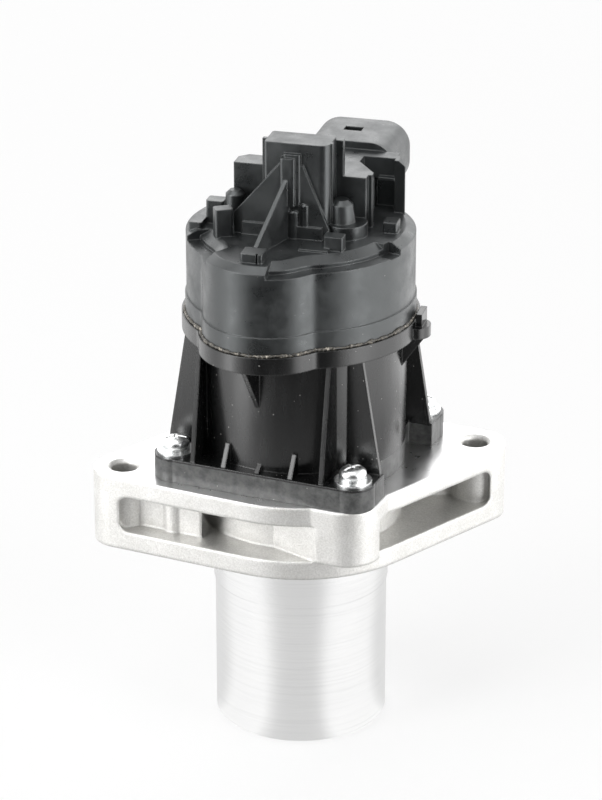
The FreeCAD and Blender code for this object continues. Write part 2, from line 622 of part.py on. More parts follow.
stem_seal = turned("stem_seal", [
    (stem_bore, seal_low), (N.seal_radius, seal_low),
    (N.seal_radius, seal_low + N.seal_height / 2), (N.bush_radius, seal_low + N.seal_height),
    (stem_bore, seal_low + N.seal_height)])

# Spring cup on the stem and the return spring that shuts the valve
cup_low = retainer_top - N.retainer_height
spring_retainer = turned("spring_retainer", [
    (N.stem_radius, cup_low - N.retainer_hub_height),
    (N.retainer_hub, cup_low - N.retainer_hub_height),
    (N.retainer_hub + N.retainer_lip, cup_low), (N.retainer_radius - N.retainer_lip, cup_low),
    (N.retainer_radius - N.retainer_lip, cup_low - N.retainer_lip),
    (N.retainer_radius, cup_low - N.retainer_lip), (N.retainer_radius, retainer_top),
    (N.stem_radius, retainer_top)])
return_spring = coil("return_spring", N.spring_radius, N.spring_wire, N.web_top, cup_low,
                     N.spring_turns)

# Motor case: round body on a square foot, with a lobed rim, corner ribs and a lug
foot_low, foot_top = N.flange_height, N.flange_height + N.foot_height
foot = prism("case_foot", lambda s: rounded(s, -half_foot, half_foot, -half_foot, half_foot,
                                            N.foot_corner), foot_low, N.foot_height)
side_cut_half = N.rib_place - N.rib_thick / 2
side_cut = block("foot_side_cut", (N.side_cut_face, half_foot + N.fit),
                 (-side_cut_half, side_cut_half), (foot_low, foot_top))
rim_low = case_top - N.rim_height
shell = turned("case_shell", [
    (N.spring_room, foot_low - N.pilot_height), (N.pilot_radius, foot_low - N.pilot_height),
    (N.pilot_radius, foot_low), (N.case_radius - N.case_draft, foot_low),
    (N.case_radius, case_top), (0, case_top), (0, case_under),
    (N.spring_room, case_under)])
rim = prism("case_rim", lambda s: lobed(s, N.rim_grow), rim_low, N.rim_height)
pads = [cylinder("screw_pad", N.screw_pad_radius, N.foot_height, x, y, foot_low)
        for x, y in corners]
ribs = []
for quarter in range(4):
    for side in (-1, 1):
        rib = upright("case_rib", [
            (N.rib_root, foot_low), (N.rib_edge_low, foot_low), (N.rib_edge_low, foot_top),
            (N.rib_edge_high, rim_low), (N.rib_root, rim_low)], N.rib_thick)
        shifted = fuse("case_rib_seat", rib)
        place(rib, 0, side * N.rib_place, 0)
        ribs.append(place(shifted, turn=size(QUARTER_TURN * quarter)))
toes = []
for step, rise in ((-1, N.toe_height), (0, N.toe_middle_height), (1, N.toe_height)):
    toe = upright("case_toe", [
        (N.rib_root, foot_low), (N.rib_edge_low, foot_low), (N.rib_edge_low, foot_top),
        (N.case_radius - N.rib_thick, foot_top + rise), (N.rib_root, foot_top + rise)],
        N.rib_thick, step * N.toe_step, 0, size(-QUARTER_TURN))
    toes.append(toe)
lobe_edge = N.lobe_radius + N.rim_grow - N.lobe_y
brow = upright("case_brow", [
    (N.rib_root, rim_low - N.brow_height),
    (N.case_radius - N.case_draft, rim_low - N.brow_height),
    (lobe_edge - N.rim_round, rim_low), (N.rib_root, rim_low)],
    N.rib_thick, N.brow_place, 0, size(-QUARTER_TURN))
lug_arm = block("lug_arm", (N.rib_root, N.lug_reach - N.lug_radius),
                (-N.lug_radius, N.lug_radius), (rim_low, rim_low + N.lug_height))
lug_end = cylinder("lug_end", N.lug_radius, N.lug_height, N.lug_reach - N.lug_radius, 0,
                   rim_low)
lug_clear = N.cap_radius + N.band_grow + N.rim_round + N.gap
lug_block = block("lug_block", (lug_clear, lug_clear + N.lug_block_deep),
                  (-N.lug_radius / 2, N.lug_radius), (rim_low, rim_low + N.lug_block_height))
lug_web = upright("lug_web", [
    (N.rib_root, rim_low - N.lug_web_height),
    (N.case_radius - N.case_draft, rim_low - N.lug_web_height),
    (N.lug_reach - N.rib_thick, rim_low), (N.rib_root, rim_low)],
    N.rib_thick, 0, -N.lug_radius / 2)
lug = place(fuse("case_lug", lug_arm, lug_end, lug_block, lug_web), turn=N.lug_turn)
solid_case = fuse("case_solid", cut("case_foot_cut", foot, side_cut), shell, rim, lug, brow,
                  *pads, *ribs, *toes)
case_cuts = [
    cylinder("spring_room_cut", N.spring_room, case_under - foot_low, z=foot_low),
    cylinder("case_bore_cut", N.case_bore, N.lug_reach, z=case_floor),
    cylinder("guide_bore", N.guide_radius, N.guide_length, z=case_under),
    cylinder("rod_way", N.rod_radius + N.gap, case_floor - case_under, z=case_under),
    cylinder("bearing_pocket", N.bearing_outer, N.lug_reach, z=case_floor),
]
case_cuts += [cylinder("foot_screw_hole", N.screw_hole, N.foot_height, x, y, foot_low)
              for x, y in corners]
open_case = cut("case_open", solid_case, *case_cuts)
cup = ring("lower_bearing_cup", N.bearing_outer, N.bearing_outer + N.bearing_cup_wall,
           case_floor, lower_bearing_from + N.bearing_height)
step_ring = ring("lower_bearing_step", N.bearing_outer - N.bearing_race, N.bearing_outer,
                 case_floor, lower_bearing_from)
motor_case = fuse("motor_case", open_case, cup, step_ring)

case_seal = turned("case_seal", [
    (N.case_seal_inner, seal_top), (N.case_seal_inner + N.case_seal_width, seal_top),
    (N.case_seal_inner + N.case_seal_width, N.flange_height),
    (N.case_seal_inner, N.flange_height)])

# Screws with split and flat washers, one at each corner of the foot
flat_low = foot_top
split_low = flat_low + N.flat_washer_height
screws, splits, flats = [], [], []
for x, y in corners:
    flats.append(place(ring("flat_washer_one", N.screw_hole, N.flat_washer, flat_low, split_low),
                       x, y))
    whole = ring("spring_washer_one", N.screw_hole, N.spring_washer, split_low, screw_low)
    gap_cut = block("spring_washer_gap", (0, N.flat_washer),
                    (-N.washer_split / 2, N.washer_split / 2), (split_low, screw_low))
    splits.append(place(cut("spring_washer_split", whole, gap_cut), x, y))
    screws.append(place(turned("case_screw_one", [
        (0, N.flange_height - N.screw_depth), (N.screw_radius, N.flange_height - N.screw_depth),
        (N.screw_radius, screw_low), (N.screw_head, screw_low),
        (N.screw_head, screw_low + N.screw_head_side),
        (N.screw_head_top, screw_low + N.screw_head_height),
        (0, screw_low + N.screw_head_height)]), x, y))
case_screws = together("case_screws", *screws)
spring_washers = together("spring_washers", *splits)
flat_washers = together("flat_washers", *flats)

# Bead of sealant squeezed out between cover and case rim
bead_out = prism("bead_outside", lambda s: lobed(s, N.band_grow + N.rim_round),
                 case_top, N.bead_height)
bead_in = prism("bead_inside", lambda s: lobed(s, N.band_grow), case_top, N.bead_height)
seam_bead = cut("seam_bead", bead_out, bead_in)

# Motor: steel yoke ring, arc magnets, slotted core with coils, screw sleeve and commutator
yoke_ring = ring("yoke_ring", N.case_bore - N.yoke_wall, N.case_bore - N.skin,
                 yoke_from, yoke_to)
magnet_out = N.case_bore - N.yoke_wall
magnets = []
for index in range(int(N.magnet_count.number)):
    start = N.magnet_first + index * FULL_TURN / N.magnet_count
    full = wedge("magnet_slice", magnet_out, magnet_to - magnet_from, start,
                 start + N.magnet_arc, magnet_from)
    hollow = cylinder("magnet_hollow", magnet_out - N.magnet_wall, magnet_to - magnet_from,
                      z=magnet_from)
    magnets.append(cut("magnet_arc_one", full, hollow))
field_magnets = together("field_magnets", *magnets)

core_round = ring("core_round", N.sleeve_radius, N.core_outer, core_from, core_to)
core_cuts, coil_bars = [], []
for index in range(int(N.tooth_count.number)):
    turn = index * FULL_TURN / N.tooth_count
    hole = block("core_slot", (N.coil_place - N.coil_radius, N.coil_place + N.coil_radius),
                 (-N.coil_radius, N.coil_radius), (core_from, core_to))
    mouth = block("core_mouth", (N.coil_place, N.core_outer + N.gap),
                  (-N.slot_mouth / 2, N.slot_mouth / 2), (core_from, core_to))
    core_cuts.append(place(fuse("core_slot_one", hole, mouth), turn=turn))
    bar_half = N.coil_radius - N.fit
    bar = block("coil_bar", (N.coil_place - bar_half, N.coil_place + bar_half),
                (-bar_half, bar_half), (core_from, core_to))
    coil_bars.append(place(fuse("coil_bar_one", bar), turn=turn))
rotor_core = cut("rotor_core", core_round, *core_cuts)


def end_turns(label, low, high, round_at):
    """The bundle of wire ends on one face of the core, rounded on its free side."""
    soft = N.end_turn_round
    other = high if round_at is low else low
    inward = soft if round_at is low else -soft
    return turned(label, [
        (N.end_turn_inner, other), (N.end_turn_outer, other),
        (N.end_turn_outer, round_at + inward), (N.end_turn_outer - soft, round_at),
        (N.end_turn_inner + soft, round_at), (N.end_turn_inner, round_at + inward)])


low_edge, high_edge = core_from - N.end_turn_height, core_to + N.end_turn_height
rotor_windings = fuse("rotor_windings",
                      end_turns("low_end_turns", low_edge, core_from, low_edge),
                      end_turns("high_end_turns", core_to, high_edge, high_edge), *coil_bars)
nut_bore = N.rod_radius + N.fit
rotor_sleeve = turned("rotor_sleeve", [
    (N.sleeve_bore, sleeve_from), (N.sleeve_radius, sleeve_from),
    (N.sleeve_radius, sleeve_to), (N.sleeve_bore, sleeve_to), (N.sleeve_bore, nut_to),
    (nut_bore, nut_to), (nut_bore, nut_from), (N.sleeve_bore, nut_from)])
drum = ring("commutator_drum", N.sleeve_radius, N.commutator_radius,
            commutator_from, commutator_to)
splits = []
for index in range(int(N.tooth_count.number)):
    split = block("bar_split", (N.commutator_radius - N.bar_split_depth,
                                N.commutator_radius + N.gap),
                  (-N.bar_split / 2, N.bar_split / 2), (commutator_from, commutator_to))
    splits.append(place(fuse("bar_split_one", split), turn=index * FULL_TURN / N.tooth_count))
commutator = cut("commutator", drum, *splits)


def bearing(label, low):
    """A shielded ball bearing as one ring, dished between its races."""
    inner, outer = N.sleeve_radius + N.skin, N.bearing_outer
    high = low + N.bearing_height
    return turned(label, [
        (inner, low), (inner + N.bearing_race, low),
        (inner + N.bearing_race, low + N.bearing_dish),
        (outer - N.bearing_race, low + N.bearing_dish), (outer - N.bearing_race, low),
        (outer, low), (outer, high), (outer - N.bearing_race, high),
        (outer - N.bearing_race, high - N.bearing_dish),
        (inner + N.bearing_race, high - N.bearing_dish), (inner + N.bearing_race, high),
        (inner, high)])


lower_bearing = bearing("lower_bearing", lower_bearing_from)
upper_bearing = bearing("upper_bearing", upper_bearing_from)

# Screw rod with two flats, kept from turning by the slot of its guide
rod_round = turned("rod_round", [
    (0, rod_from), (N.rod_radius - N.rod_chamfer, rod_from),
    (N.rod_radius, rod_from + N.rod_chamfer), (N.rod_radius, rod_shoulder - N.rod_chamfer),
    (N.rod_radius - N.rod_chamfer, rod_shoulder), (N.rod_pin, rod_shoulder),
    (N.rod_pin, rod_to), (0, rod_to)])
rod_slab = block("rod_slab", (-N.rod_radius, N.rod_radius), (-N.rod_flat, N.rod_flat),
                 (rod_from, rod_to))
screw_rod = common("screw_rod", rod_round, rod_slab)
guide_body = cylinder("guide_body", N.guide_radius, N.guide_length, z=case_under)
guide_round = cylinder("guide_round", N.rod_radius + N.fit, N.guide_length, z=case_under)
guide_slab = block("guide_slab", (-N.guide_radius, N.guide_radius),
                   (-N.rod_flat - N.fit, N.rod_flat + N.fit),
                   (case_under, case_under + N.guide_length))
rod_guide = cut("rod_guide", guide_body, common("guide_way", guide_round, guide_slab))

# Brush gear: carrier plate with two brush boxes, carbon brushes and their leaf springs
holder_low = yoke_to
holder_top = holder_low + N.holder_height
brush_low = holder_top + N.brush_lift
brush_top = brush_low + N.brush_height
brush_from = N.commutator_radius + N.gap
brush_to = brush_from + N.brush_length
holder_plate = ring("holder_plate", N.holder_inner, N.holder_outer, holder_low, holder_top)
brush_middle = brush_low + N.brush_height / 2
leaf_back = N.brush_box_to - N.box_wall
half_brush = N.brush_width / 2
boxes, ways, brush_bars, brush_leaves = [], [], [], []
for side in (0, HALF_TURN):
    box_out = block("brush_box", (N.brush_box_from, N.brush_box_to),
                    (-half_brush - N.box_wall, half_brush + N.box_wall),
                    (holder_low, brush_top + N.box_wall))
    way = block("brush_way", (N.brush_box_from - N.gap, N.brush_box_to - N.box_wall),
                (-half_brush - N.fit, half_brush + N.fit), (brush_low - N.fit, brush_top + N.fit))
    turn = N.cap_turn + side
    boxes.append(place(fuse("brush_box_one", box_out), turn=turn))
    ways.append(place(fuse("brush_way_one", way), turn=turn))
    bar = block("brush_bar", (brush_from, brush_to), (-half_brush, half_brush),
                (brush_low, brush_top))
    brush_bars.append(place(fuse("brush_one", bar), turn=turn))
    leaf = prism("brush_leaf", lambda s: polygon(s, [
        (leaf_back - N.leaf_thick, -N.leaf_half_width), (leaf_back, -N.leaf_half_width),
        (brush_to + 2 * N.leaf_thick, 0), (leaf_back, N.leaf_half_width),
        (leaf_back - N.leaf_thick, N.leaf_half_width), (brush_to, N.leaf_thick),
        (brush_to, -N.leaf_thick)]), brush_middle - N.leaf_half_height, 2 * N.leaf_half_height)
    brush_leaves.append(place(fuse("brush_leaf_one", leaf), turn=turn))
brush_holder = cut("brush_holder", fuse("holder_solid", holder_plate, *boxes), *ways)
carbon_brushes = together("carbon_brushes", *brush_bars)
brush_springs = together("brush_springs", *brush_leaves)

# Motor cover: lobed shell with a stepped deck edge
band_top = case_top + N.band_height
shell_parts = [
    prism("cover_band", lambda s: lobed(s, N.band_grow), case_top, N.band_height),
    prism("cover_wall", lambda s: lobed(s), band_top, ledge_top - band_top),
]
brim = fuse("cover_brim",
            prism("brim_wall", lambda s: lobed(s), ledge_top, wall_top - ledge_top),
            prism("brim_slope", lambda s: lobed(s), wall_top, deck_top - wall_top,
                  N.edge_inset))
trim_height = deck_top - ledge_top
trim_reach = N.cap_radius + N.lobe_radius
right_trim = wedge("right_trim", trim_reach, trim_height, N.right_from, N.right_to, ledge_top)
left_trim = wedge("left_trim", trim_reach, trim_height, N.left_from, N.left_to, ledge_top)
brim = cut("cover_brim_trimmed", brim, right_trim, left_trim)
step_top = ledge_top + N.crown_step
crown = [
    prism("crown_step_wall", lambda s: lobed(s, -N.crown_inset), ledge_top, N.crown_step),
    prism("crown_slope_wall", lambda s: lobed(s, -N.crown_inset), step_top,
          deck_top - step_top, N.crown_slope),
]

# Everything on the deck is set out in the turned frame of the cover
deck = deck_top
root = deck_under


def stand(label, u, v, wide, deep, top, turn=None, low=None):
    """A small block standing on the deck with its upright edges rounded."""
    foot_at = root if low is None else low
    post = prism(label, lambda s: rounded(s, 0, wide, 0, deep, N.block_round),
                 foot_at, top - foot_at)
    return place(post, u, v, 0, turn)


tower = prism("sensor_tower", lambda s: belt(s, [
    (N.tower_right - N.tower_round, N.tower_front + N.tower_round, N.tower_round),
    (N.tower_right - N.block_round, N.tower_back - N.block_round, N.block_round),
    (N.tower_left + N.block_round, N.tower_back - N.block_round, N.block_round),
    (N.tower_left + N.block_round, N.tower_front + N.block_round, N.block_round)]),
    root, over_deck(N.tower_rise) - root)
raised = [tower]
raised.append(block("tower_plinth", (N.plinth_left, N.plinth_right),
                    (N.plinth_front, N.tower_back), (root, over_deck(N.plinth_rise))))
tower_top = over_deck(N.tower_rise)
raised.append(block("tower_fin", (N.tower_left - N.fin_width, N.tower_left + N.fin_width),
                    (N.fin_place, N.fin_place + N.fin_depth), (root, tower_top - N.fin_drop)))
raised.append(block("tower_guard",
                    (N.tower_right - 2 * N.block_round, N.tower_right + N.guard_width),
                    (N.tower_back, N.tower_back + N.guard_depth),
                    (root, tower_top - N.guard_drop)))
ridge_front = N.tower_front + N.tower_round
raised.append(block("tower_ridge", (N.tower_right - N.block_round, N.tower_right + N.ridge_thick),
                    (ridge_front, ridge_front + N.ridge_depth), (root, tower_top)))
raised.append(stand("gusset_post", N.post_left, N.post_front, N.post_width,
                    N.tower_front - N.post_front + N.tower_face_wall / 2,
                    over_deck(N.post_rise), low=over_deck(N.post_foot)))
raised.append(stand("gusset_arch", N.arch_left, N.arch_front, N.arch_width,
                    N.tower_front - N.arch_front + N.tower_face_wall / 2,
                    over_deck(N.arch_rise), low=over_deck(N.post_foot)))

# Gable plate along the front of the tower and the middle gusset that comes forward from it
raised.append(run_along("tower_gable", lambda s: polygon(s, [
    (N.gable_left, root), (N.gable_right, root),
    (N.gable_right, over_deck(N.gable_right_foot)),
    (N.gable_top_right, over_deck(N.gable_rise)), (N.gable_top_left, over_deck(N.gable_rise)),
    (N.gable_left, over_deck(N.gable_left_foot))]), N.gable_front,
    N.gable_front + N.gusset_thick))
gusset_u, gusset_v = N.post_left + N.post_width / 2, N.gable_front + N.gusset_thick / 2
away_u, away_v = N.gusset_mid_u - gusset_u, N.gusset_mid_v - gusset_v
gusset_reach = Size(math.hypot(away_u.number, away_v.number),
                    "sqrt(%s^2 + %s^2)" % (away_u.formula, away_v.formula))
gusset_turn = Size(math.degrees(math.atan2(away_v.number, away_u.number)),
                   "(atan(%s / %s) / 1 deg - %d)" % (away_v.formula, away_u.formula, HALF_TURN))
raised.append(upright("gusset_middle", [
    (0, root), (gusset_reach, root), (gusset_reach, over_deck(N.front_block_rise)),
    (0, over_deck(N.gusset_mid_rise))], N.gusset_thick, gusset_u, gusset_v, gusset_turn))
for label, u, radius, rise in (("plinth_peg", N.peg_u, N.peg_radius, N.peg_rise),
                               ("small_peg", N.small_peg_u, N.small_peg_radius,
                                N.small_peg_rise)):
    raised.append(knob(label, u, N.peg_v, root, radius, radius, N.peg_chamfer, over_deck(rise)))

# Plateau behind the tower with its rail, pocket, niche, shelf and fence
plateau_top = over_deck(N.plateau_rise)
rail_right = N.plateau_right + N.rail_thick
plateau = prism("plateau", lambda s: polygon(s, [
    (N.plateau_left, N.tower_back), (N.plateau_right, N.tower_back),
    (N.plateau_right, N.rail_front), (rail_right, N.rail_front), (rail_right, N.rail_back),
    (N.pocket_left, N.pocket_middle), (N.pocket_left, N.pocket_back),
    (N.fence_inner, N.pocket_back), (N.fence_inner, N.plateau_back),
    (N.plateau_left, N.plateau_back)]), root, plateau_top - root)
shelf_top = over_deck(N.shelf_rise)
niche = block("pocket_niche", (N.niche_left, N.fence_inner),
              (N.pocket_back, N.pocket_back + N.niche_depth), (deck, shelf_top - N.shelf_height))
shelf = block("pocket_shelf", (N.shelf_left, N.fence_inner),
              (N.pocket_back - N.shelf_depth, N.pocket_back + N.shelf_depth),
              (shelf_top - N.shelf_height, shelf_top))
fence_disc = cylinder("fence_disc", N.cap_radius - N.fence_inset, plateau_top - root, z=root)
fence_form = run_along("fence_form", lambda s: polygon(s, [
    (N.fence_inner, root), (N.cap_radius, root), (N.cap_radius, plateau_top - N.fence_fall),
    (N.fence_inner + N.fence_flat, plateau_top), (N.fence_inner, plateau_top)]),
    N.fence_front, N.plateau_back)
raised += [cut("plateau_hollowed", plateau, niche), shelf,
           common("plateau_fence", fence_disc, fence_form)]
raised.append(prism("left_box", lambda s: polygon(s, [
    (N.box_left, N.box_front), (N.box_right, N.box_front), (N.box_right, N.box_back),
    (N.box_left + N.box_corner, N.box_back), (N.box_left, N.box_back - N.box_corner)]),
    root, over_deck(N.box_rise) - root))
raised.append(knob("side_stud", N.stud_u, N.stud_v, root, N.stud_radius,
                   N.stud_radius - N.stud_round / 2, N.stud_round, over_deck(N.stud_rise)))
raised.append(cylinder("dome_disc", N.disc_radius, over_deck(N.disc_rise) - root,
                       N.disc_u, N.disc_v, root))
raised.append(knob("dome", N.dome_u, N.disc_v, over_deck(N.disc_rise), N.dome_radius,
                   N.dome_crown, N.dome_round, over_deck(N.dome_rise)))
raised.append(stand("left_block", N.left_block_u, N.left_block_v, N.left_block_wide,
                    N.left_block_deep, over_deck(N.left_block_rise), N.left_block_turn))
raised.append(stand("rear_block", N.rear_block_u, N.rear_block_v, N.rear_block_wide,
                    N.rear_block_deep, over_deck(N.rear_block_rise)))
raised.append(stand("side_wedge", N.side_wedge_u, N.side_wedge_v, N.side_wedge_wide,
                    N.side_wedge_deep, over_deck(N.side_wedge_rise)))
front_block = stand("front_block_whole", N.front_block_u, N.front_block_v, N.front_block_wide,
                    N.front_block_deep, over_deck(N.front_block_rise), low=ledge_top)
split_u = N.front_block_u + N.front_block_split
front_split = block("front_block_split_cut", (split_u, split_u + N.split_width),
                    (N.front_block_v - N.fit, N.front_block_v + N.split_depth),
                    (deck, over_deck(N.front_block_rise)))
raised.append(cut("front_block", front_block, front_split))
raised.append(stand("right_block", N.right_block_u, N.right_block_v, N.right_block_wide,
                    N.right_block_deep, over_deck(N.right_block_rise)))
raised.append(stand("side_block", N.side_block_u, N.side_block_v, N.side_block_wide,
                    N.side_block_deep, over_deck(N.side_block_rise)))
raised.append(block("deck_pad", (N.pad_u, N.pad_u + N.pad_wide), (N.pad_v, N.pad_v + N.pad_deep),
                    (root, over_deck(N.pad_rise))))

# Plug socket reaching back over the rim
def socket_form(label, inset, start, end):
    """The oval of the plug socket, its section drawn upright and run along Y."""
    return run_along(label, lambda s: rounded(
        s, N.socket_u - N.socket_half_width + inset, N.socket_u + N.socket_half_width - inset,
        socket_z - N.socket_half_height + inset, socket_z + N.socket_half_height - inset,
        N.socket_round - inset), start, end)


raised.append(socket_form("socket_shroud", size(0), N.plateau_back, N.socket_end))
deck_parts = place(fuse("deck_parts", *raised), turn=N.cap_turn)

latch_u = N.socket_u + N.latch_shift
half_pin, half_thick = N.blade_width / 2, N.blade_thick / 2
blade_slots, blades = [], []
for index in range(int(N.blade_count.number)):
    u = N.socket_u + N.blade_pitch * (index - (N.blade_count - 1) / 2)
    blade_slots.append(block("blade_slot", (u - half_pin, u + half_pin),
                             (N.blade_from, N.socket_floor + N.fit),
                             (socket_z - half_thick, socket_z + half_thick)))
    blade = block("blade", (u - half_pin, u + half_pin), (N.blade_from, N.blade_to),
                  (socket_z - half_thick, socket_z + half_thick))
    blades.append(place(fuse("blade_one", blade), turn=N.cap_turn))
hollows = [
    socket_form("socket_hollow", N.socket_wall, N.socket_floor, N.socket_end),
    block("latch_window", (latch_u - N.latch_width / 2, latch_u + N.latch_width / 2),
          (N.latch_from, N.latch_from + N.latch_length),
          (socket_z + N.socket_half_height - N.socket_wall - N.gap,
           socket_z + N.socket_half_height)),
    block("board_room", (N.tower_left + N.tower_wall, N.tower_right - N.tower_wall),
          (N.tower_front + N.tower_face_wall, N.tower_back - N.tower_wall),
          (over_deck(N.tower_floor_rise), over_deck(N.tower_rise) - N.tower_wall)),
] + blade_slots
notch = block("deck_notch", (N.notch_reach, N.notch_reach + N.notch_width),
              (-N.notch_length / 2, N.notch_length / 2), (wall_top - N.notch_depth, deck_top))
cavities = [
    cylinder("cover_bore_cut", N.cover_bore, deck_under - case_top, z=case_top),
    cylinder("lobe_bore_cut", N.lobe_bore, lobe_bore_top - case_top, N.lobe_x, N.lobe_y,
             case_top),
    cylinder("sensor_room_cut", N.sensor_room, over_deck(N.sensor_room_rise) - deck_under,
             z=deck_under),
    place(fuse("deck_notch_turned", notch), turn=N.right_to),
    place(fuse("turned_hollows", *hollows), turn=N.cap_turn),
]
cover_solid = fuse("cover_solid", brim, *shell_parts, *crown, deck_parts)
cover_open = cut("cover_open", cover_solid, *cavities)
upper_cup = ring("upper_bearing_cup", N.bearing_outer, N.bearing_outer + N.bearing_cup_wall,
                 upper_bearing_from, deck_under)
upper_step = ring("upper_bearing_step", N.bearing_outer - N.bearing_race, N.bearing_outer,
                  upper_bearing_from + N.bearing_height, deck_under)
motor_cover = fuse("motor_cover", cover_open, upper_cup, upper_step)
connector_blades = together("connector_blades", *blades)

# Position sensor: sprung plunger with a magnet ring, read by the board in the tower
plunger_low = rod_to + N.gap
ring_top = plunger_top - N.plunger_head_height
sensor_plunger = turned("sensor_plunger", [
    (0, plunger_low), (N.plunger_pin, plunger_low), (N.plunger_pin, ring_top),
    (N.plunger_head, ring_top), (N.plunger_head, plunger_top), (0, plunger_top)])
sensor_magnet = ring("sensor_magnet", N.plunger_pin, N.magnet_ring,
                     ring_top - N.magnet_ring_height, ring_top)
sensor_spring = coil("sensor_spring", N.sensor_spring_radius, N.sensor_spring_wire,
                     plunger_top, over_deck(N.sensor_room_rise), N.sensor_spring_turns)
board_front, board_low = N.tower_front + N.tower_face_wall, over_deck(N.tower_floor_rise)
board_plate = block("board_plate", (N.tower_left + N.tower_wall, N.tower_right - N.tower_wall),
                    (board_front, board_front + N.board_thick),
                    (board_low, board_low + N.board_height))
sensor_board = place(fuse("sensor_board", board_plate), turn=N.cap_turn)
chip_form = block("chip_form", (-N.chip_width / 2, N.chip_width / 2),
                  (board_front + N.board_thick, board_front + N.board_thick + N.chip_thick),
                  (chip_low, chip_low + N.chip_height))
sensor_chip = place(fuse("sensor_chip", chip_form), turn=N.cap_turn)

NODES = [
    valve_housing, spigot_tube, valve_seat, valve_head, valve_stem, stem_bush, stem_seal,
    spring_retainer, return_spring, motor_case, case_seal, case_screws, spring_washers,
    flat_washers, seam_bead, yoke_ring, field_magnets, rotor_core, rotor_windings,
    rotor_sleeve, commutator, lower_bearing, upper_bearing, screw_rod, rod_guide,
    brush_holder, carbon_brushes, brush_springs, motor_cover, connector_blades,
    sensor_plunger, sensor_magnet, sensor_spring, sensor_board, sensor_chip,
]
doc.recompute()
failed = [thing.Label for thing in doc.Objects
          if "Invalid" in thing.State or "Error" in thing.State]
if failed:
    raise RuntimeError("did not build: " + ", ".join(failed))
for node in NODES:
    if node.Shape.isNull() or not node.Shape.isValid():
        raise RuntimeError("%s has no valid shape" % node.Label)

os.makedirs("parts", exist_ok=True)
for node in NODES:
    node.Shape.exportStep("parts/%s.step" % node.Label)
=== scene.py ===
import json
import math

import bmesh
import bpy
from mathutils import Matrix, Vector, noise


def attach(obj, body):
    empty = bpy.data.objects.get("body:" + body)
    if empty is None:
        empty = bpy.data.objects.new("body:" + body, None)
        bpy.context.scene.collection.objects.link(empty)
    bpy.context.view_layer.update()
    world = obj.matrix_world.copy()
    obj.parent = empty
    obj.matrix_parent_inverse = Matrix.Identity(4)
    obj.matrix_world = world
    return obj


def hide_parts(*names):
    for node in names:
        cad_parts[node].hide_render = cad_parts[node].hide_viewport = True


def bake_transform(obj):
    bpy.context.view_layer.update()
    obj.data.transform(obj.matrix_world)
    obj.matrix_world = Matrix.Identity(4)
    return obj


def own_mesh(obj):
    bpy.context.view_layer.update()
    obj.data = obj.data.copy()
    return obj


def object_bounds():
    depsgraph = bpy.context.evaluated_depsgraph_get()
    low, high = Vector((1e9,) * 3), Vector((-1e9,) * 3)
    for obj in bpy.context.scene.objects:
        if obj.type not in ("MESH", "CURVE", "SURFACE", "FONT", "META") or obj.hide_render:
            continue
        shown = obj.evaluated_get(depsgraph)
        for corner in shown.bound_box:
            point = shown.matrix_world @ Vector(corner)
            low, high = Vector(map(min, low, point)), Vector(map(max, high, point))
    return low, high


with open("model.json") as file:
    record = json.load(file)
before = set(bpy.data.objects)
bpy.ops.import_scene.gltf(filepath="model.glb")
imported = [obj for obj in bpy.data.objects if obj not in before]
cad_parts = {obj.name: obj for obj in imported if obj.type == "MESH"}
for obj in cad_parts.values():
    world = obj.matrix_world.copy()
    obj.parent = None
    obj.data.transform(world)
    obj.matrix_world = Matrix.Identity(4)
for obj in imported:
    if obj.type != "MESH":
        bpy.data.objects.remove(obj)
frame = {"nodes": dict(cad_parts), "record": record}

CAD_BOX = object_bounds()
MM = 0.001
FULL_TURN = 2 * math.pi
WHITE = (1.0, 1.0, 1.0, 1.0)

# Heights at which a finish changes, in metres
FLANGE_TOP = 0.020
FOOT_TOP = FLANGE_TOP + 0.0058


def aimed(name, data, where, target):
    """A camera or lamp at one place, looking at another."""
    made = bpy.data.objects.new(name, data)
    made.location = where
    made.rotation_mode = "QUATERNION"
    made.rotation_quaternion = (target - where).to_track_quat("-Z", "Y")
    bpy.context.collection.objects.link(made)
    return made


# Camera at the photograph's angle, 602 by 800
FOCAL_PIXELS = 3350.8
PICTURE_HEIGHT = 800
SENSOR = 36.0
CAMERA_AT = Vector((310.2, -736.2, 379.7)) * MM
CAMERA_TO = Vector((0.0, 0.0, 35.04)) * MM

camera_data = bpy.data.cameras.new("camera")
camera_data.sensor_width = SENSOR
camera_data.lens = FOCAL_PIXELS * SENSOR / PICTURE_HEIGHT
camera_data.clip_start = 0.05
camera_data.clip_end = 20
bpy.context.scene.camera = aimed("camera", camera_data, CAMERA_AT, CAMERA_TO)
bpy.context.scene.view_settings.view_transform = "Standard"


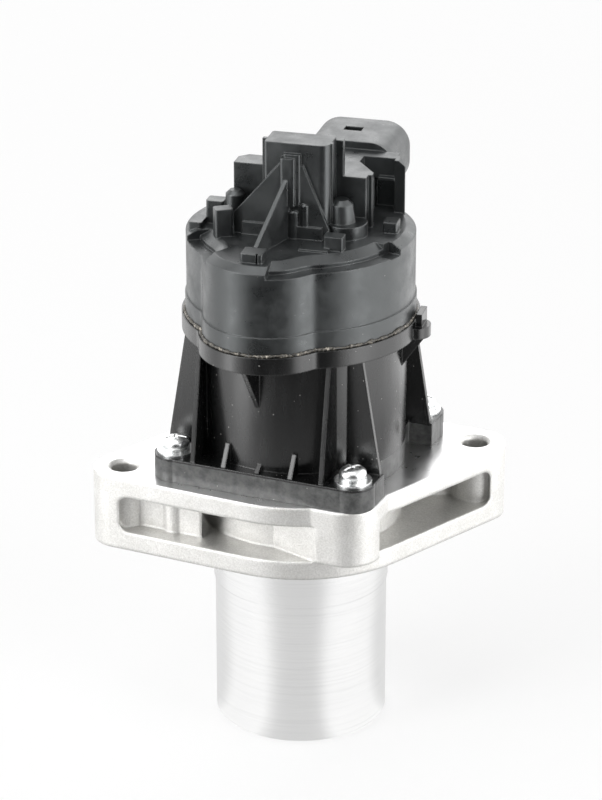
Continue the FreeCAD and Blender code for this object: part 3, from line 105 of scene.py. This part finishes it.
class Shader:
    """A node material with short calls for its nodes. Lengths are in metres."""

    def __init__(self, name, world=False):
        self.material = (bpy.data.worlds if world else bpy.data.materials).new(name)
        self.material.use_nodes = True
        self.tree = self.material.node_tree
        self.tree.nodes.clear()
        kind = "ShaderNodeOutputWorld" if world else "ShaderNodeOutputMaterial"
        self.out = self.tree.nodes.new(kind)
        self.coords = self.tree.nodes.new("ShaderNodeTexCoord")
        self.here = self.coords.outputs["Generated" if world else "Object"]

    def feed(self, socket, value):
        if isinstance(value, bpy.types.NodeSocket):
            self.tree.links.new(value, socket)
        else:
            socket.default_value = value

    def node(self, kind, inputs=None, **settings):
        made = self.tree.nodes.new("ShaderNode" + kind)
        for key, value in settings.items():
            setattr(made, key, value)
        for key, value in (inputs or {}).items():
            self.feed(made.inputs[key], value)
        return made

    def height(self, vector=None):
        """The upright part of the place in the object, or of another vector."""
        return self.node("SeparateXYZ", {"Vector": vector or self.here}).outputs["Z"]

    def stretched(self, x, y, z):
        return self.node("Mapping", {"Vector": self.here, "Scale": (x, y, z)}).outputs[0]

    def noise(self, grain, detail=3.0, roughness=0.6, where=None):
        """Noise whose features are about grain metres across."""
        made = self.node("TexNoise", {"Vector": where or self.here, "Scale": 1 / grain,
                                      "Detail": detail, "Roughness": roughness})
        return made.outputs["Fac"]

    def spread(self, value, low, high, to_low=0.0, to_high=1.0):
        """Stretches low to high over to_low to to_high, and holds the ends."""
        made = self.node("MapRange", {"Value": value, "From Min": low, "From Max": high,
                                      "To Min": to_low, "To Max": to_high})
        return made.outputs[0]

    def maths(self, operation, first, second=0.0):
        return self.node("Math", {0: first, 1: second}, operation=operation).outputs[0]

    def mixed(self, factor, first, second):
        """A number between two others."""
        made = self.node("Mix", data_type="FLOAT")
        self.feed(made.inputs["Factor"], factor)
        self.feed(made.inputs["A"], first)
        self.feed(made.inputs["B"], second)
        return made.outputs[0]

    def blend(self, factor, first, second):
        """A colour between two others."""
        made = self.node("Mix", data_type="RGBA")
        self.feed(made.inputs["Factor"], factor)
        self.feed(made.inputs["A"], colour(first))
        self.feed(made.inputs["B"], colour(second))
        return made.outputs["Result"]

    def bump(self, height, depth, strength=1.0, normal=None):
        inputs = {"Height": height, "Distance": depth, "Strength": strength}
        if normal is not None:
            inputs["Normal"] = normal
        return self.node("Bump", inputs).outputs[0]

    def soft_edges(self, radius, samples=4):
        return self.node("Bevel", {"Radius": radius}, samples=samples).outputs[0]

    def edge_highlight_mask(self, softened):
        """One along the edges that the softened normal rounds off, nought on the flats."""
        flat = self.node("NewGeometry").outputs["Normal"]
        alike = self.node("VectorMath", {0: softened, 1: flat}, operation="DOT_PRODUCT")
        return self.spread(alike.outputs["Value"], 0.99, 0.86)

    def sheltered(self, reach):
        """One in the open, towards nought inside holes and pockets."""
        return self.node("AmbientOcclusion", {"Distance": reach}, samples=4).outputs["AO"]

    def dusted(self, base, grain, inner, outer, strength, rare, dust):
        """Pale specks, one in the middle of each cell whose colour passes rare."""
        cells = self.node("TexVoronoi", {"Vector": self.here, "Scale": 1 / grain})
        speck = self.spread(cells.outputs["Distance"], inner, outer, strength, 0.0)
        parts = self.node("SeparateColor", {"Color": cells.outputs["Color"]})
        chosen = self.maths("GREATER_THAN", parts.outputs["Red"], rare)
        return self.blend(self.maths("MULTIPLY", speck, chosen), base, dust)

    def surface(self, base, roughness, normal=None, metallic=0.0, **plain):
        """Closes the material with one principled surface."""
        made = self.node("BsdfPrincipled")
        self.feed(made.inputs["Base Color"], colour(base))
        self.feed(made.inputs["Roughness"], roughness)
        self.feed(made.inputs["Metallic"], metallic)
        if normal is not None:
            self.feed(made.inputs["Normal"], normal)
        for key, value in plain.items():
            made.inputs[key.replace("_", " ")].default_value = value
        self.tree.links.new(made.outputs[0], self.out.inputs["Surface"])
        return self.material

    def by_ray(self, lit, seen, mirrored, share=1.0):
        """Closes the material with one look for light, one for the eye, one for reflections."""
        ways = self.node("LightPath").outputs
        looked_at = self.maths("MAXIMUM", ways["Is Camera Ray"], ways["Is Transmission Ray"])
        direct = self.node("MixShader", {0: self.maths("MULTIPLY", looked_at, share),
                                         1: lit, 2: seen})
        either = self.node("MixShader", {0: ways["Is Glossy Ray"], 1: direct.outputs[0],
                                         2: mirrored})
        self.tree.links.new(either.outputs[0], self.out.inputs["Surface"])
        return self.material


def colour(value):
    """Adds the missing alpha to a plain colour."""
    if isinstance(value, tuple) and len(value) == 3:
        return (*value, 1.0)
    return value


# Cover: semi-matte dark moulding with a cloudy cool sheen, a painted highlight along its rounded
# edges and a few pale specks
def cover_plastic():
    s = Shader("cover_plastic")
    clouds = s.noise(0.006, 5.0, 0.65)
    fine = s.noise(0.0005, 2.0)
    scuffs = s.noise(0.0016, 6.0, 0.75)
    base = s.blend(s.spread(clouds, 0.35, 0.7), (0.012, 0.013, 0.0135), (0.022, 0.0235, 0.024))
    base = s.blend(s.spread(scuffs, 0.62, 0.78, 0.0, 0.3), base, (0.07, 0.07, 0.068))
    base = s.dusted(base, 0.0016, 0.07, 0.12, 0.6, 0.93, (0.32, 0.31, 0.29))
    edges = s.soft_edges(0.00045)
    # Painted highlight: the base is lightened along the edges that the soft bevel rounds off,
    # hollow and raised edges alike
    base = s.blend(s.maths("MULTIPLY", s.edge_highlight_mask(edges), 0.4), base, (0.085, 0.086, 0.085))
    rough = s.maths("ADD", s.spread(clouds, 0.35, 0.65, 0.275, 0.465),
                    s.spread(fine, 0.25, 0.75, -0.04, 0.04))
    normal = s.bump(s.noise(0.00022, 3.0), 0.00003, 0.35, edges)
    normal = s.bump(s.noise(0.003, 3.0), 0.0002, 0.10, normal)
    return s.surface(base, rough, normal, Specular_IOR_Level=0.9,
                     Specular_Tint=(0.945, 0.99, 1.0, 1.0))


# Motor case: blacker and glossier, with white dust; the edge of its foot is a dull spark finish
def case_plastic():
    s = Shader("case_plastic")
    flow = s.noise(0.003, 4.0, 0.6, s.stretched(1.0, 1.0, 0.22))
    foot = s.maths("LESS_THAN", s.height(), FOOT_TOP)
    base = s.blend(s.spread(flow, 0.35, 0.7), (0.0035, 0.0037, 0.0038), (0.0075, 0.0077, 0.0078))
    dull = s.blend(s.spread(s.noise(0.0025, 5.0, 0.7), 0.38, 0.62), (0.035, 0.036, 0.036),
                   (0.10, 0.102, 0.10))
    base = s.blend(foot, base, dull)
    base = s.dusted(base, 0.0013, 0.08, 0.14, 0.75, 0.9, (0.45, 0.44, 0.42))
    rough = s.maths("ADD", s.spread(flow, 0.3, 0.7, 0.22, 0.30),
                    s.spread(foot, 0.0, 1.0, 0.0, 0.1))
    ripples = s.noise(0.0012, 3.0, 0.5, s.stretched(1.0, 1.0, 0.3))
    normal = s.bump(ripples, 0.00002, 0.08, s.soft_edges(0.0004))
    return s.surface(base, rough, normal, Specular_IOR_Level=0.7)


# Cast aluminium: bright, with a fine sandy grain and painted shade inside holes and pockets; the
# top of the flange is milled
def cast_aluminium():
    s = Shader("cast_aluminium")
    upward = s.height(s.coords.outputs["Normal"])
    milled = s.maths("MULTIPLY", s.maths("GREATER_THAN", s.height(), FLANGE_TOP - 0.0003),
                     s.maths("GREATER_THAN", upward, 0.9))
    sand = s.noise(0.0004, 4.0, 0.75)
    grain = s.noise(0.0011, 5.0, 0.7)
    blots = s.noise(0.009, 4.0, 0.6)
    skin = s.blend(s.spread(blots, 0.35, 0.68), (0.69, 0.685, 0.665), (0.77, 0.765, 0.75))
    skin = s.blend(s.spread(sand, 0.55, 0.35, 0.0, 0.4), skin, (0.45, 0.44, 0.42))
    skin = s.blend(s.spread(sand, 0.52, 0.66, 0.0, 0.35), skin, (0.92, 0.915, 0.90))
    skin = s.blend(s.spread(grain, 0.38, 0.28, 0.0, 0.3), skin, (0.40, 0.385, 0.355))
    shine = s.blend(s.spread(s.noise(0.02, 3.0), 0.3, 0.7), (0.80, 0.80, 0.80),
                    (0.87, 0.87, 0.87))
    base = s.blend(milled, skin, shine)
    # Painted shade: the base darkens where ambient occlusion finds holes and pockets
    base = s.blend(s.spread(s.sheltered(0.009), 0.7, 0.15, 0.0, 0.65), base, (0.33, 0.325, 0.31))
    rough = s.mixed(milled, s.spread(grain, 0.3, 0.7, 0.62, 0.48),
                    s.spread(s.noise(0.004, 4.0), 0.3, 0.7, 0.26, 0.34))
    pits = s.bump(sand, 0.00015, s.spread(milled, 0.0, 1.0, 0.5, 0.0), s.soft_edges(0.0012, 6))
    waves = s.bump(grain, 0.0002, s.spread(milled, 0.0, 1.0, 0.3, 0.0), pits)
    feed_marks = s.noise(0.0004, 2.0, 0.6, s.stretched(1.0, 0.03, 0.03))
    normal = s.bump(feed_marks, 0.000012, s.spread(milled, 0.0, 1.0, 0.0, 0.3), waves)
    return s.surface(base, rough, normal, metallic=1.0)


# Turned aluminium: fine rings round the axis and a satin glint
def turned_aluminium():
    s = Shader("turned_aluminium")
    clouds = s.noise(0.02, 3.0, 0.5)
    base = s.blend(s.spread(clouds, 0.3, 0.7), (0.90, 0.90, 0.90), (0.94, 0.94, 0.935))
    rings = s.noise(0.00035, 3.0, 0.65, s.stretched(0.01, 0.01, 1.0))
    base = s.blend(s.spread(rings, 0.35, 0.5, 0.18, 0.0), base, (0.70, 0.70, 0.70))
    rough = s.spread(clouds, 0.3, 0.7, 0.22, 0.27)
    normal = s.bump(rings, 0.00001, 0.3, s.soft_edges(0.0003))
    return s.surface(base, rough, normal, metallic=1.0)


# Bright zinc plating with faint clouding
def zinc_steel():
    s = Shader("zinc_steel")
    clouds = s.noise(0.0012, 4.0)
    base = s.blend(s.spread(clouds, 0.35, 0.7), (0.80, 0.82, 0.83), (0.91, 0.91, 0.895))
    rough = s.spread(clouds, 0.3, 0.7, 0.24, 0.35)
    normal = s.bump(s.noise(0.0004, 3.0), 0.00002, 0.25, s.soft_edges(0.0002))
    return s.surface(base, rough, normal, metallic=1.0)


# Sealant bead: dark, with brown lumps where it dried and small pale spots that are painted glints
def sealant():
    s = Shader("sealant")
    lumps = s.noise(0.0011, 5.0, 0.7)
    base = s.blend(s.spread(lumps, 0.4, 0.66), (0.025, 0.024, 0.022), (0.17, 0.155, 0.13))
    # Painted glints: small pale beige spots scattered over the bead
    base = s.blend(s.spread(s.noise(0.0009, 3.0), 0.54, 0.68), base, (0.60, 0.55, 0.47))
    normal = s.bump(lumps, 0.0002, 0.6)
    return s.surface(base, s.spread(lumps, 0.3, 0.7, 0.22, 0.5), normal)


def plain_metal(name, low, high, rough, grain=0.0008):
    """Worked metal whose fine lines run round the axis."""
    s = Shader(name)
    lines = s.noise(grain, 3.0, 0.6, s.stretched(0.15, 0.15, 1.0))
    base = s.blend(s.spread(s.noise(0.004, 3.0), 0.3, 0.7), low, high)
    normal = s.bump(lines, 0.00003, 0.3, s.soft_edges(0.0002))
    return s.surface(base, s.spread(lines, 0.3, 0.7, rough, rough + 0.12), normal, metallic=1.0)


def plain_moulding(name, low, high, rough):
    """Moulded or pressed material with a fine skin."""
    s = Shader(name)
    tone = s.noise(0.003, 4.0)
    base = s.blend(s.spread(tone, 0.3, 0.7), low, high)
    normal = s.bump(s.noise(0.0004, 3.0), 0.00004, 0.35, s.soft_edges(0.0002))
    return s.surface(base, s.spread(tone, 0.3, 0.7, rough, rough + 0.12), normal)


# Finishes of the hidden pieces: darker tone, lighter tone, roughness and, for metals, the grain
METALS = {
    "seat_steel": ((0.42, 0.41, 0.40), (0.55, 0.54, 0.53), 0.28),
    "valve_steel": ((0.36, 0.33, 0.29), (0.50, 0.48, 0.45), 0.30),
    "bush_bronze": ((0.52, 0.38, 0.18), (0.64, 0.50, 0.28), 0.38),
    "spring_steel": ((0.35, 0.35, 0.37), (0.50, 0.50, 0.52), 0.28),
    "yoke_steel": ((0.30, 0.30, 0.31), (0.42, 0.42, 0.43), 0.34),
    "core_steel": ((0.24, 0.24, 0.25), (0.36, 0.36, 0.37), 0.40, 0.0005),
    "sleeve_steel": ((0.50, 0.50, 0.51), (0.60, 0.60, 0.61), 0.22),
    "bearing_steel": ((0.55, 0.55, 0.56), (0.66, 0.66, 0.67), 0.18),
    "rod_steel": ((0.46, 0.46, 0.47), (0.58, 0.58, 0.59), 0.25),
    "winding_copper": ((0.42, 0.15, 0.05), (0.66, 0.28, 0.11), 0.30),
    "commutator_copper": ((0.54, 0.26, 0.13), (0.70, 0.38, 0.20), 0.28),
    "blade_tin": ((0.62, 0.58, 0.44), (0.78, 0.74, 0.62), 0.22),
}
MOULDINGS = {
    "magnet_ferrite": ((0.07, 0.07, 0.073), (0.13, 0.13, 0.135), 0.5),
    "seal_graphite": ((0.04, 0.04, 0.043), (0.09, 0.09, 0.093), 0.45),
    "seal_rubber": ((0.018, 0.018, 0.018), (0.04, 0.04, 0.04), 0.5),
    "guide_plastic": ((0.66, 0.63, 0.54), (0.76, 0.73, 0.65), 0.4),
    "holder_plastic": ((0.15, 0.09, 0.04), (0.26, 0.17, 0.09), 0.42),
    "carbon": ((0.03, 0.03, 0.032), (0.07, 0.07, 0.072), 0.5),
    "plunger_plastic": ((0.55, 0.53, 0.48), (0.68, 0.66, 0.61), 0.4),
    "board_green": ((0.02, 0.10, 0.045), (0.04, 0.17, 0.08), 0.32),
    "chip_black": ((0.012, 0.012, 0.012), (0.03, 0.03, 0.03), 0.4),
}
FINISHES = {
    "cast_aluminium": cast_aluminium(),
    "turned_aluminium": turned_aluminium(),
    "case_plastic": case_plastic(),
    "cover_plastic": cover_plastic(),
    "zinc_steel": zinc_steel(),
    "sealant": sealant(),
}
for kind, table in ((plain_metal, METALS), (plain_moulding, MOULDINGS)):
    for name, values in table.items():
        FINISHES[name] = kind(name, *values)

for entry in frame["record"]["subparts"]:
    for filled in frame["nodes"][entry["node"]].material_slots:
        filled.material = FINISHES[entry["material_slot"]]


def new_piece(mesh, slot, body, smooth=True):
    """A piece of the scene, named as its mesh, in a record's finish, riding on a body."""
    made = bpy.data.objects.new(mesh.name, mesh)
    bpy.context.collection.objects.link(made)
    mesh.materials.clear()
    mesh.materials.append(FINISHES[slot])
    for face in mesh.polygons:
        face.use_smooth = smooth
    if body:
        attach(made, body)
    return made


def closed_mesh(name, bm):
    """The finished mesh, with its faces turned outwards."""
    mesh = bpy.data.meshes.new(name)
    bmesh.ops.recalc_face_normals(bm, faces=bm.faces)
    bm.to_mesh(mesh)
    bm.free()
    return mesh


def skinned(bm, rings):
    """Faces from each ring to the next; a ring of one corner is a tip."""
    for lower, upper in zip(rings, rings[1:]):
        sides = max(len(lower), len(upper))
        for side in range(sides):
            after = (side + 1) % sides
            if len(lower) == 1:
                bm.faces.new((lower[0], upper[after], upper[side]))
            elif len(upper) == 1:
                bm.faces.new((lower[side], lower[after], upper[0]))
            else:
                bm.faces.new((lower[side], lower[after], upper[after], upper[side]))


def lathe(bm, profile, x, y, steps=48):
    """Turns (radius, height) corners about an upright axis at x, y, in millimetres."""
    rings = []
    for radius, height in profile:
        if radius == 0:
            rings.append([bm.verts.new((x * MM, y * MM, height * MM))])
            continue
        ring = []
        for step in range(steps):
            angle = FULL_TURN * step / steps
            ring.append(bm.verts.new(((x + radius * math.cos(angle)) * MM,
                                      (y + radius * math.sin(angle)) * MM, height * MM)))
        rings.append(ring)
    skinned(bm, rings)


def bar(bm, length, width, depth, taper, top, x, y, turn):
    """A bar that narrows downwards, used to sink a recess. It stands proud of the top."""
    proud = 0.5
    turned = Matrix.Rotation(math.radians(turn), 4, "Z")
    corners = []
    for height, half_x, half_y in ((top - depth, length / 2 - taper, width / 2 - taper / 3),
                                   (top + proud, length / 2, width / 2)):
        for sx, sy in ((-1, -1), (1, -1), (1, 1), (-1, 1)):
            spot = turned @ Vector((sx * half_x, sy * half_y, 0))
            corners.append(bm.verts.new(((spot.x + x) * MM, (spot.y + y) * MM, height * MM)))
    for quad in ((3, 2, 1, 0), (4, 5, 6, 7), (0, 1, 5, 4), (1, 2, 6, 5), (2, 3, 7, 6),
                 (3, 0, 4, 7)):
        bm.faces.new([corners[index] for index in quad])


def carved(name, solid, tools):
    """The mesh left when the tools are taken out of the solid."""
    parts = []
    for role, bm in (("solid", solid), ("tools", tools)):
        parts.append(bpy.data.objects.new(role, closed_mesh(role, bm)))
        bpy.context.collection.objects.link(parts[-1])
    cutter = parts[0].modifiers.new("cut", "BOOLEAN")
    cutter.operation = "DIFFERENCE"
    cutter.solver = "EXACT"
    cutter.use_self = True
    cutter.object = parts[1]
    graph = bpy.context.evaluated_depsgraph_get()
    result = bpy.data.meshes.new_from_object(parts[0].evaluated_get(graph))
    result.name = name
    for part in parts:
        bpy.data.objects.remove(part)
    return result


# Foot screws: pan heads with a cross and slot recess, in the CAD screws' places
HEAD_LOW, HEAD_HIGH, HEAD_RADIUS, HEAD_RIM = 28.1, 30.7, 3.5, 0.85
SCREW_REACH, SHANK_LOW, SHANK_RADIUS = 24.5, 9.4, 2.0
CROWN_STEPS, CROWN_POWER = 9, 0.75
# Each recess has a length, a width, a depth and a taper
CROSS = (3.7, 0.85, 1.5, 0.9)
SLOT = (5.6, 0.8, 0.75, 0.2)
# Corner of the foot and turn of the recess in degrees
PLACES_AND_TURNS = ((-1, -1, 28), (1, -1, 62), (-1, 1, 105), (1, 1, 10))
heads, recesses = bmesh.new(), bmesh.new()
for x, y, turn in PLACES_AND_TURNS:
    x, y = x * SCREW_REACH, y * SCREW_REACH
    crown = [(HEAD_RADIUS - 0.15, HEAD_LOW), (HEAD_RADIUS, HEAD_LOW + 0.2),
             (HEAD_RADIUS, HEAD_LOW + HEAD_RIM)]
    for step in range(1, CROWN_STEPS):
        angle = math.radians(90 * step / CROWN_STEPS)
        crown.append((HEAD_RADIUS * math.cos(angle) ** CROWN_POWER,
                      HEAD_LOW + HEAD_RIM + (HEAD_HIGH - HEAD_LOW - HEAD_RIM) * math.sin(angle)))
    lathe(heads, [(0, SHANK_LOW), (SHANK_RADIUS - 0.3, SHANK_LOW), (SHANK_RADIUS, SHANK_LOW + 0.5),
                  (SHANK_RADIUS, HEAD_LOW)] + crown + [(0, HEAD_HIGH)], x, y)
    bar(recesses, *CROSS, HEAD_HIGH, x, y, turn)
    bar(recesses, *CROSS, HEAD_HIGH, x, y, turn + 90)
    bar(recesses, *SLOT, HEAD_HIGH, x, y, turn)
screws = new_piece(carved("foot_screws", heads, recesses), "zinc_steel", "housing", smooth=False)
for face in screws.data.polygons:
    face.use_smooth = face.normal.z < 0.98
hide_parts("case_screws")

# The cap's outline: a round body, a front lobe and the hollow blends between them
BODY_RADIUS, LOBE_RADIUS, HOLLOW_RADIUS = 29.3, 16.5, 5.5
LOBE_AT = (-0.9, -18.8)


def lobed_line(grow, steps):
    """Points along the cap's outline, grown outwards, steps of them to each 200 mm."""
    big, small, hollow = BODY_RADIUS + grow, LOBE_RADIUS + grow, HOLLOW_RADIUS - grow
    lobe = Vector(LOBE_AT)
    toward = math.atan2(lobe.y, lobe.x)
    near, far, reach = big + hollow, small + hollow, lobe.length
    swing = math.acos((near ** 2 + reach ** 2 - far ** 2) / (2 * near * reach))
    blends = []
    for angle in (toward - swing, toward + swing):
        centre = Vector((near * math.cos(angle), near * math.sin(angle)))
        blends.append((centre, math.atan2(-centre.y, -centre.x),
                       math.atan2(lobe.y - centre.y, lobe.x - centre.x)))
    left, right = blends
    half = math.pi
    arcs = [(Vector((0, 0)), big, right[1] - half, left[1] + half, 1),
            (left[0], hollow, left[1], left[2], -1),
            (lobe, small, left[2] - half, right[2] - half, 1),
            (right[0], hollow, right[2], right[1], -1)]
    line = []
    for centre, radius, start, end, way in arcs:
        while way * (end - start) < 0:
            end += way * FULL_TURN
        while way * (end - start) > FULL_TURN:
            end -= way * FULL_TURN
        count = max(2, int(steps * abs(end - start) * radius / 200))
        for step in range(count):
            angle = start + (end - start) * step / count
            line.append(centre + Vector((math.cos(angle), math.sin(angle))) * radius)
    return line


# Sealant squeezed out along the seam: thin, uneven, with small lumps, in millimetres
SEAM_HEIGHT, SEAM_OUT, SEAM_STEPS, SEAM_SIDES = 61.35, 0.45, 1100, 8
THINNEST, THICKEST, USUAL, WIDTH_SHARE = 0.14, 0.95, 0.42, 0.8
# The noise that varies it: rates by the millimetre, sizes in millimetres
NOISE_HEIGHT = 61.3
LONG_WAVE, LONG_RATE, SHORT_WAVE, SHORT_RATE = 0.34, 0.42, 0.24, 1.9
BLOB, BLOB_RATE, BLOB_ABOVE, BLOB_FROM = 1.6, 0.36, 0.28, Vector((7, 3, 1))
LIFT, LIFT_RATE, SAG, LIFT_FROM = 0.24, 0.31, 0.12, Vector((0, 0, 9))


def seam_line():
    path = lobed_line(SEAM_OUT, SEAM_STEPS)
    bm = bmesh.new()
    rings = []
    for index, spot in enumerate(path):
        ahead, behind = path[(index + 1) % len(path)], path[index - 1]
        along = (ahead - behind).normalized()
        outward = Vector((along.y, -along.x))
        here = Vector((spot.x, spot.y, NOISE_HEIGHT))
        thick = (USUAL + LONG_WAVE * noise.noise(here * LONG_RATE)
                 + SHORT_WAVE * noise.noise(here * SHORT_RATE))
        blob = max(0.0, noise.noise(here * BLOB_RATE + BLOB_FROM) - BLOB_ABOVE) * BLOB
        thick = min(THICKEST, max(THINNEST, thick + blob))
        lift = LIFT * noise.noise(here * LIFT_RATE + LIFT_FROM) - SAG
        ring = []
        for side in range(SEAM_SIDES):
            angle = FULL_TURN * side / SEAM_SIDES
            out = outward * (thick * math.cos(angle) * WIDTH_SHARE)
            ring.append(bm.verts.new(((spot.x + out.x) * MM, (spot.y + out.y) * MM,
                                      (SEAM_HEIGHT + lift + thick * math.sin(angle)) * MM)))
        rings.append(ring)
    skinned(bm, rings + rings[:1])
    return closed_mesh("seam_sealant", bm)


bead = new_piece(seam_line(), "sealant", "housing")
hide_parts("seam_bead")


def wound_wire(name, radius, wire, low_end, high_end, turns, sides=10, per_turn=36):
    """A round wire wound from one seat to the other, with its end turns closed."""
    bm = bmesh.new()
    rings = []
    closed = 0.8
    steps = int((turns + 2 * closed) * per_turn)
    span = high_end - low_end - 2 * wire
    for step in range(steps + 1):
        turn = step / per_turn
        free = min(1.0, max(0.0, (turn - closed) / turns))
        dead = wire * 2 * (min(turn, closed) + max(0.0, turn - closed - turns))
        height = low_end + wire + dead + free * (span - 4 * wire * closed)
        angle = FULL_TURN * turn
        out = Vector((math.cos(angle), math.sin(angle), 0))
        ring = []
        for side in range(sides):
            swing = FULL_TURN * side / sides
            spot = out * (radius + wire * math.cos(swing)) + Vector((0, 0, height))
            ring.append(bm.verts.new((spot + Vector((0, 0, wire * math.sin(swing)))) * MM))
        rings.append(ring)
    skinned(bm, rings)
    bm.faces.new(rings[0][::-1])
    bm.faces.new(rings[-1])
    return closed_mesh(name, bm)


# Springs in round wire: in the valve one is squeezed as it opens and the other follows the
# plunger; here both are fixed shapes that do not move
STROKE, SPRING_LOW, SPRING_HIGH = 7.5, -3.0, 15.6
SPRING_RADIUS, SPRING_WIRE, SPRING_TURNS = 9.8, 0.75, 4
SENSOR_LOW, SENSOR_HIGH = 91.2, 96.3
SENSOR_RADIUS, SENSOR_WIRE, SENSOR_TURNS = 4.0, 0.3, 3
spring = new_piece(wound_wire("valve_spring", SPRING_RADIUS, SPRING_WIRE, SPRING_LOW, SPRING_HIGH,
                              SPRING_TURNS), "spring_steel", "housing")
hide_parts("return_spring")
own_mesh(spring)
light_spring = new_piece(wound_wire("plunger_spring", SENSOR_RADIUS, SENSOR_WIRE, SENSOR_LOW,
                                    SENSOR_HIGH, SENSOR_TURNS), "spring_steel", None)
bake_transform(light_spring)
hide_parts("sensor_spring")

# Surroundings: white to the eye. In reflections their brightness goes by the angle round the
# object, counted to the right from the camera, in degrees. There is one table for each part
# of the object, because each looks out over another ring of the floor
TOWARD = Vector((CAMERA_AT.x, CAMERA_AT.y, 0.0)).normalized()
ACROSS = Vector((-TOWARD.y, TOWARD.x, 0.0))
BRIGHTEST = 5.0
BY_SPIGOT = ((-180, 0.8), (-162, 0.88), (-144, 1.03), (-68, 1.05), (-56, 0.9), (-40, 0.75),
             (-22, 0.72), (16, 0.72), (30, 0.76), (40, 0.9), (52, 1.05), (144, 1.03),
             (162, 0.88), (180, 0.8))
BY_FLANGE = ((-180, 0.75), (-150, 0.8), (-120, 0.9), (-60, 0.95), (-42, 1.05), (-26, 0.72),
             (22, 0.68), (40, 0.95), (60, 1.02), (88, 0.95), (108, 0.72), (180, 0.7))
BY_CASE = ((-180, 1.0), (-155, 1.0), (-125, 1.5), (-95, 1.5), (-76, 2.0), (-67, 4.9), (-58, 4.9),
           (-52, 0.6), (-46, 0.1), (-30, 0.05), (24, 0.03), (34, 0.2), (42, 3.2), (54, 3.4),
           (66, 2.2), (92, 2.1), (128, 2.4), (155, 1.0), (180, 1.0))
BY_COVER = ((-180, 1.0), (-155, 1.0), (-128, 1.9), (-105, 1.3), (-88, 0.9), (-75, 2.2),
            (-62, 4.4), (-48, 3.8), (-36, 1.2), (-27, 0.2), (-18, 0.08), (24, 0.07), (34, 0.3),
            (43, 3.6), (60, 4.9), (72, 2.7), (92, 2.3), (128, 2.5), (155, 1.0), (180, 1.0))
BY_DECK = ((-180, 1.0), (-155, 1.0), (-120, 1.6), (-90, 1.4), (-66, 2.6), (-56, 1.6),
           (-46, 0.2), (-38, 0.05), (34, 0.05), (46, 0.6), (56, 3.6), (72, 3.0), (92, 1.6),
           (128, 1.6), (155, 1.0), (180, 1.0))
# Each ring takes over from the one before between these distances from the axis, in metres
OUTER_RINGS = ((0.16, 0.185, BY_FLANGE), (0.22, 0.25, BY_CASE), (0.285, 0.31, BY_COVER),
               (0.36, 0.41, BY_DECK))


def seen_in_reflections(s, levels, widen=1.0):
    """Brightness by the angle round the object, from a table."""
    turn = math.atan2(TOWARD.y, TOWARD.x)
    facing = s.node("Mapping", {"Vector": s.here, "Rotation": (0.0, 0.0, -turn)}).outputs[0]
    apart = s.node("SeparateXYZ", {"Vector": facing}).outputs
    angle = s.maths("MULTIPLY", s.maths("ARCTAN2", apart["Y"], apart["X"]), widen)
    ramp = s.node("ValToRGB", {"Fac": s.spread(angle, -math.pi, math.pi)})
    stops = ramp.color_ramp.elements
    while len(stops) < len(levels):
        stops.new(0.5)
    for stop, (degrees, level) in zip(stops, levels):
        stop.position = (degrees + 180) / 360
        stop.color = (level / BRIGHTEST,) * 3 + (1.0,)
    return s.maths("MULTIPLY", ramp.outputs["Color"], BRIGHTEST)


# The floor: its paint, and how far it glows plain white to the eye
FLOOR_PAINT, FLOOR_GLOW = (0.93, 0.93, 0.93, 1.0), 0.7
# The world: its light, and its brightness in reflections from above
WORLD_LIGHT, WORLD_ABOVE = 0.45, 0.9


def floor_material():
    s = Shader("floor")
    away = s.node("VectorMath", {0: s.here}, operation="LENGTH").outputs["Value"]
    level = seen_in_reflections(s, BY_SPIGOT, s.spread(away, 0.03, 0.17, 1.9, 1.0))
    for start, end, levels in OUTER_RINGS:
        level = s.mixed(s.spread(away, start, end), level, seen_in_reflections(s, levels))
    lit = s.node("BsdfDiffuse", {"Color": FLOOR_PAINT})
    seen = s.node("Emission", {"Color": WHITE, "Strength": 1.0})
    mirrored = s.node("Emission", {"Color": WHITE, "Strength": level})
    return s.by_ray(lit.outputs[0], seen.outputs[0], mirrored.outputs[0], share=FLOOR_GLOW)


FLOOR_REACH, FLOOR_GAP = 6.0, 0.0001
floor_mesh = bpy.data.meshes.new("floor")
floor_mesh.from_pydata([(-FLOOR_REACH, -FLOOR_REACH, 0), (FLOOR_REACH, -FLOOR_REACH, 0),
                        (FLOOR_REACH, FLOOR_REACH, 0), (-FLOOR_REACH, FLOOR_REACH, 0)],
                       [], [(0, 1, 2, 3)])
floor_mesh.materials.append(floor_material())
floor = bpy.data.objects.new("floor", floor_mesh)
floor.location.z = CAD_BOX[0].z - FLOOR_GAP
bpy.context.collection.objects.link(floor)


def surroundings():
    s = Shader("surroundings", world=True)
    level = s.mixed(s.spread(s.height(), 0.55, 0.8), seen_in_reflections(s, BY_COVER),
                    WORLD_ABOVE)
    looks = [s.node("Background", {"Color": WHITE, "Strength": strength}).outputs[0]
             for strength in (WORLD_LIGHT, 1.0, level)]
    return s.by_ray(*looks)


bpy.context.scene.world = surroundings()

# Square soft lamps: the angle round the object, distance and height, then size and power
LAMPS = {
    "lamp_top": (-60, 0.35, 1.25, (0.9, 0.9), 6.0),
    "lamp_left": (-58, 1.2, 0.45, (0.5, 0.9), 6.0),
    "lamp_right": (52, 1.2, 0.45, (0.4, 0.9), 3.5),
    "lamp_back": (180, 1.3, 0.75, (1.5, 0.9), 6.5),
}
LAMPS_AIM = Vector((0.0, 0.0, 0.03))
for name, (degrees, distance, height, size, power) in LAMPS.items():
    data = bpy.data.lights.new(name, "AREA")
    data.shape = "RECTANGLE"
    data.size, data.size_y = size
    data.energy = power
    angle = math.radians(degrees)
    flat = (TOWARD * math.cos(angle) + ACROSS * math.sin(angle)) * distance
    aimed(name, data, Vector((flat.x, flat.y, height)), LAMPS_AIM)
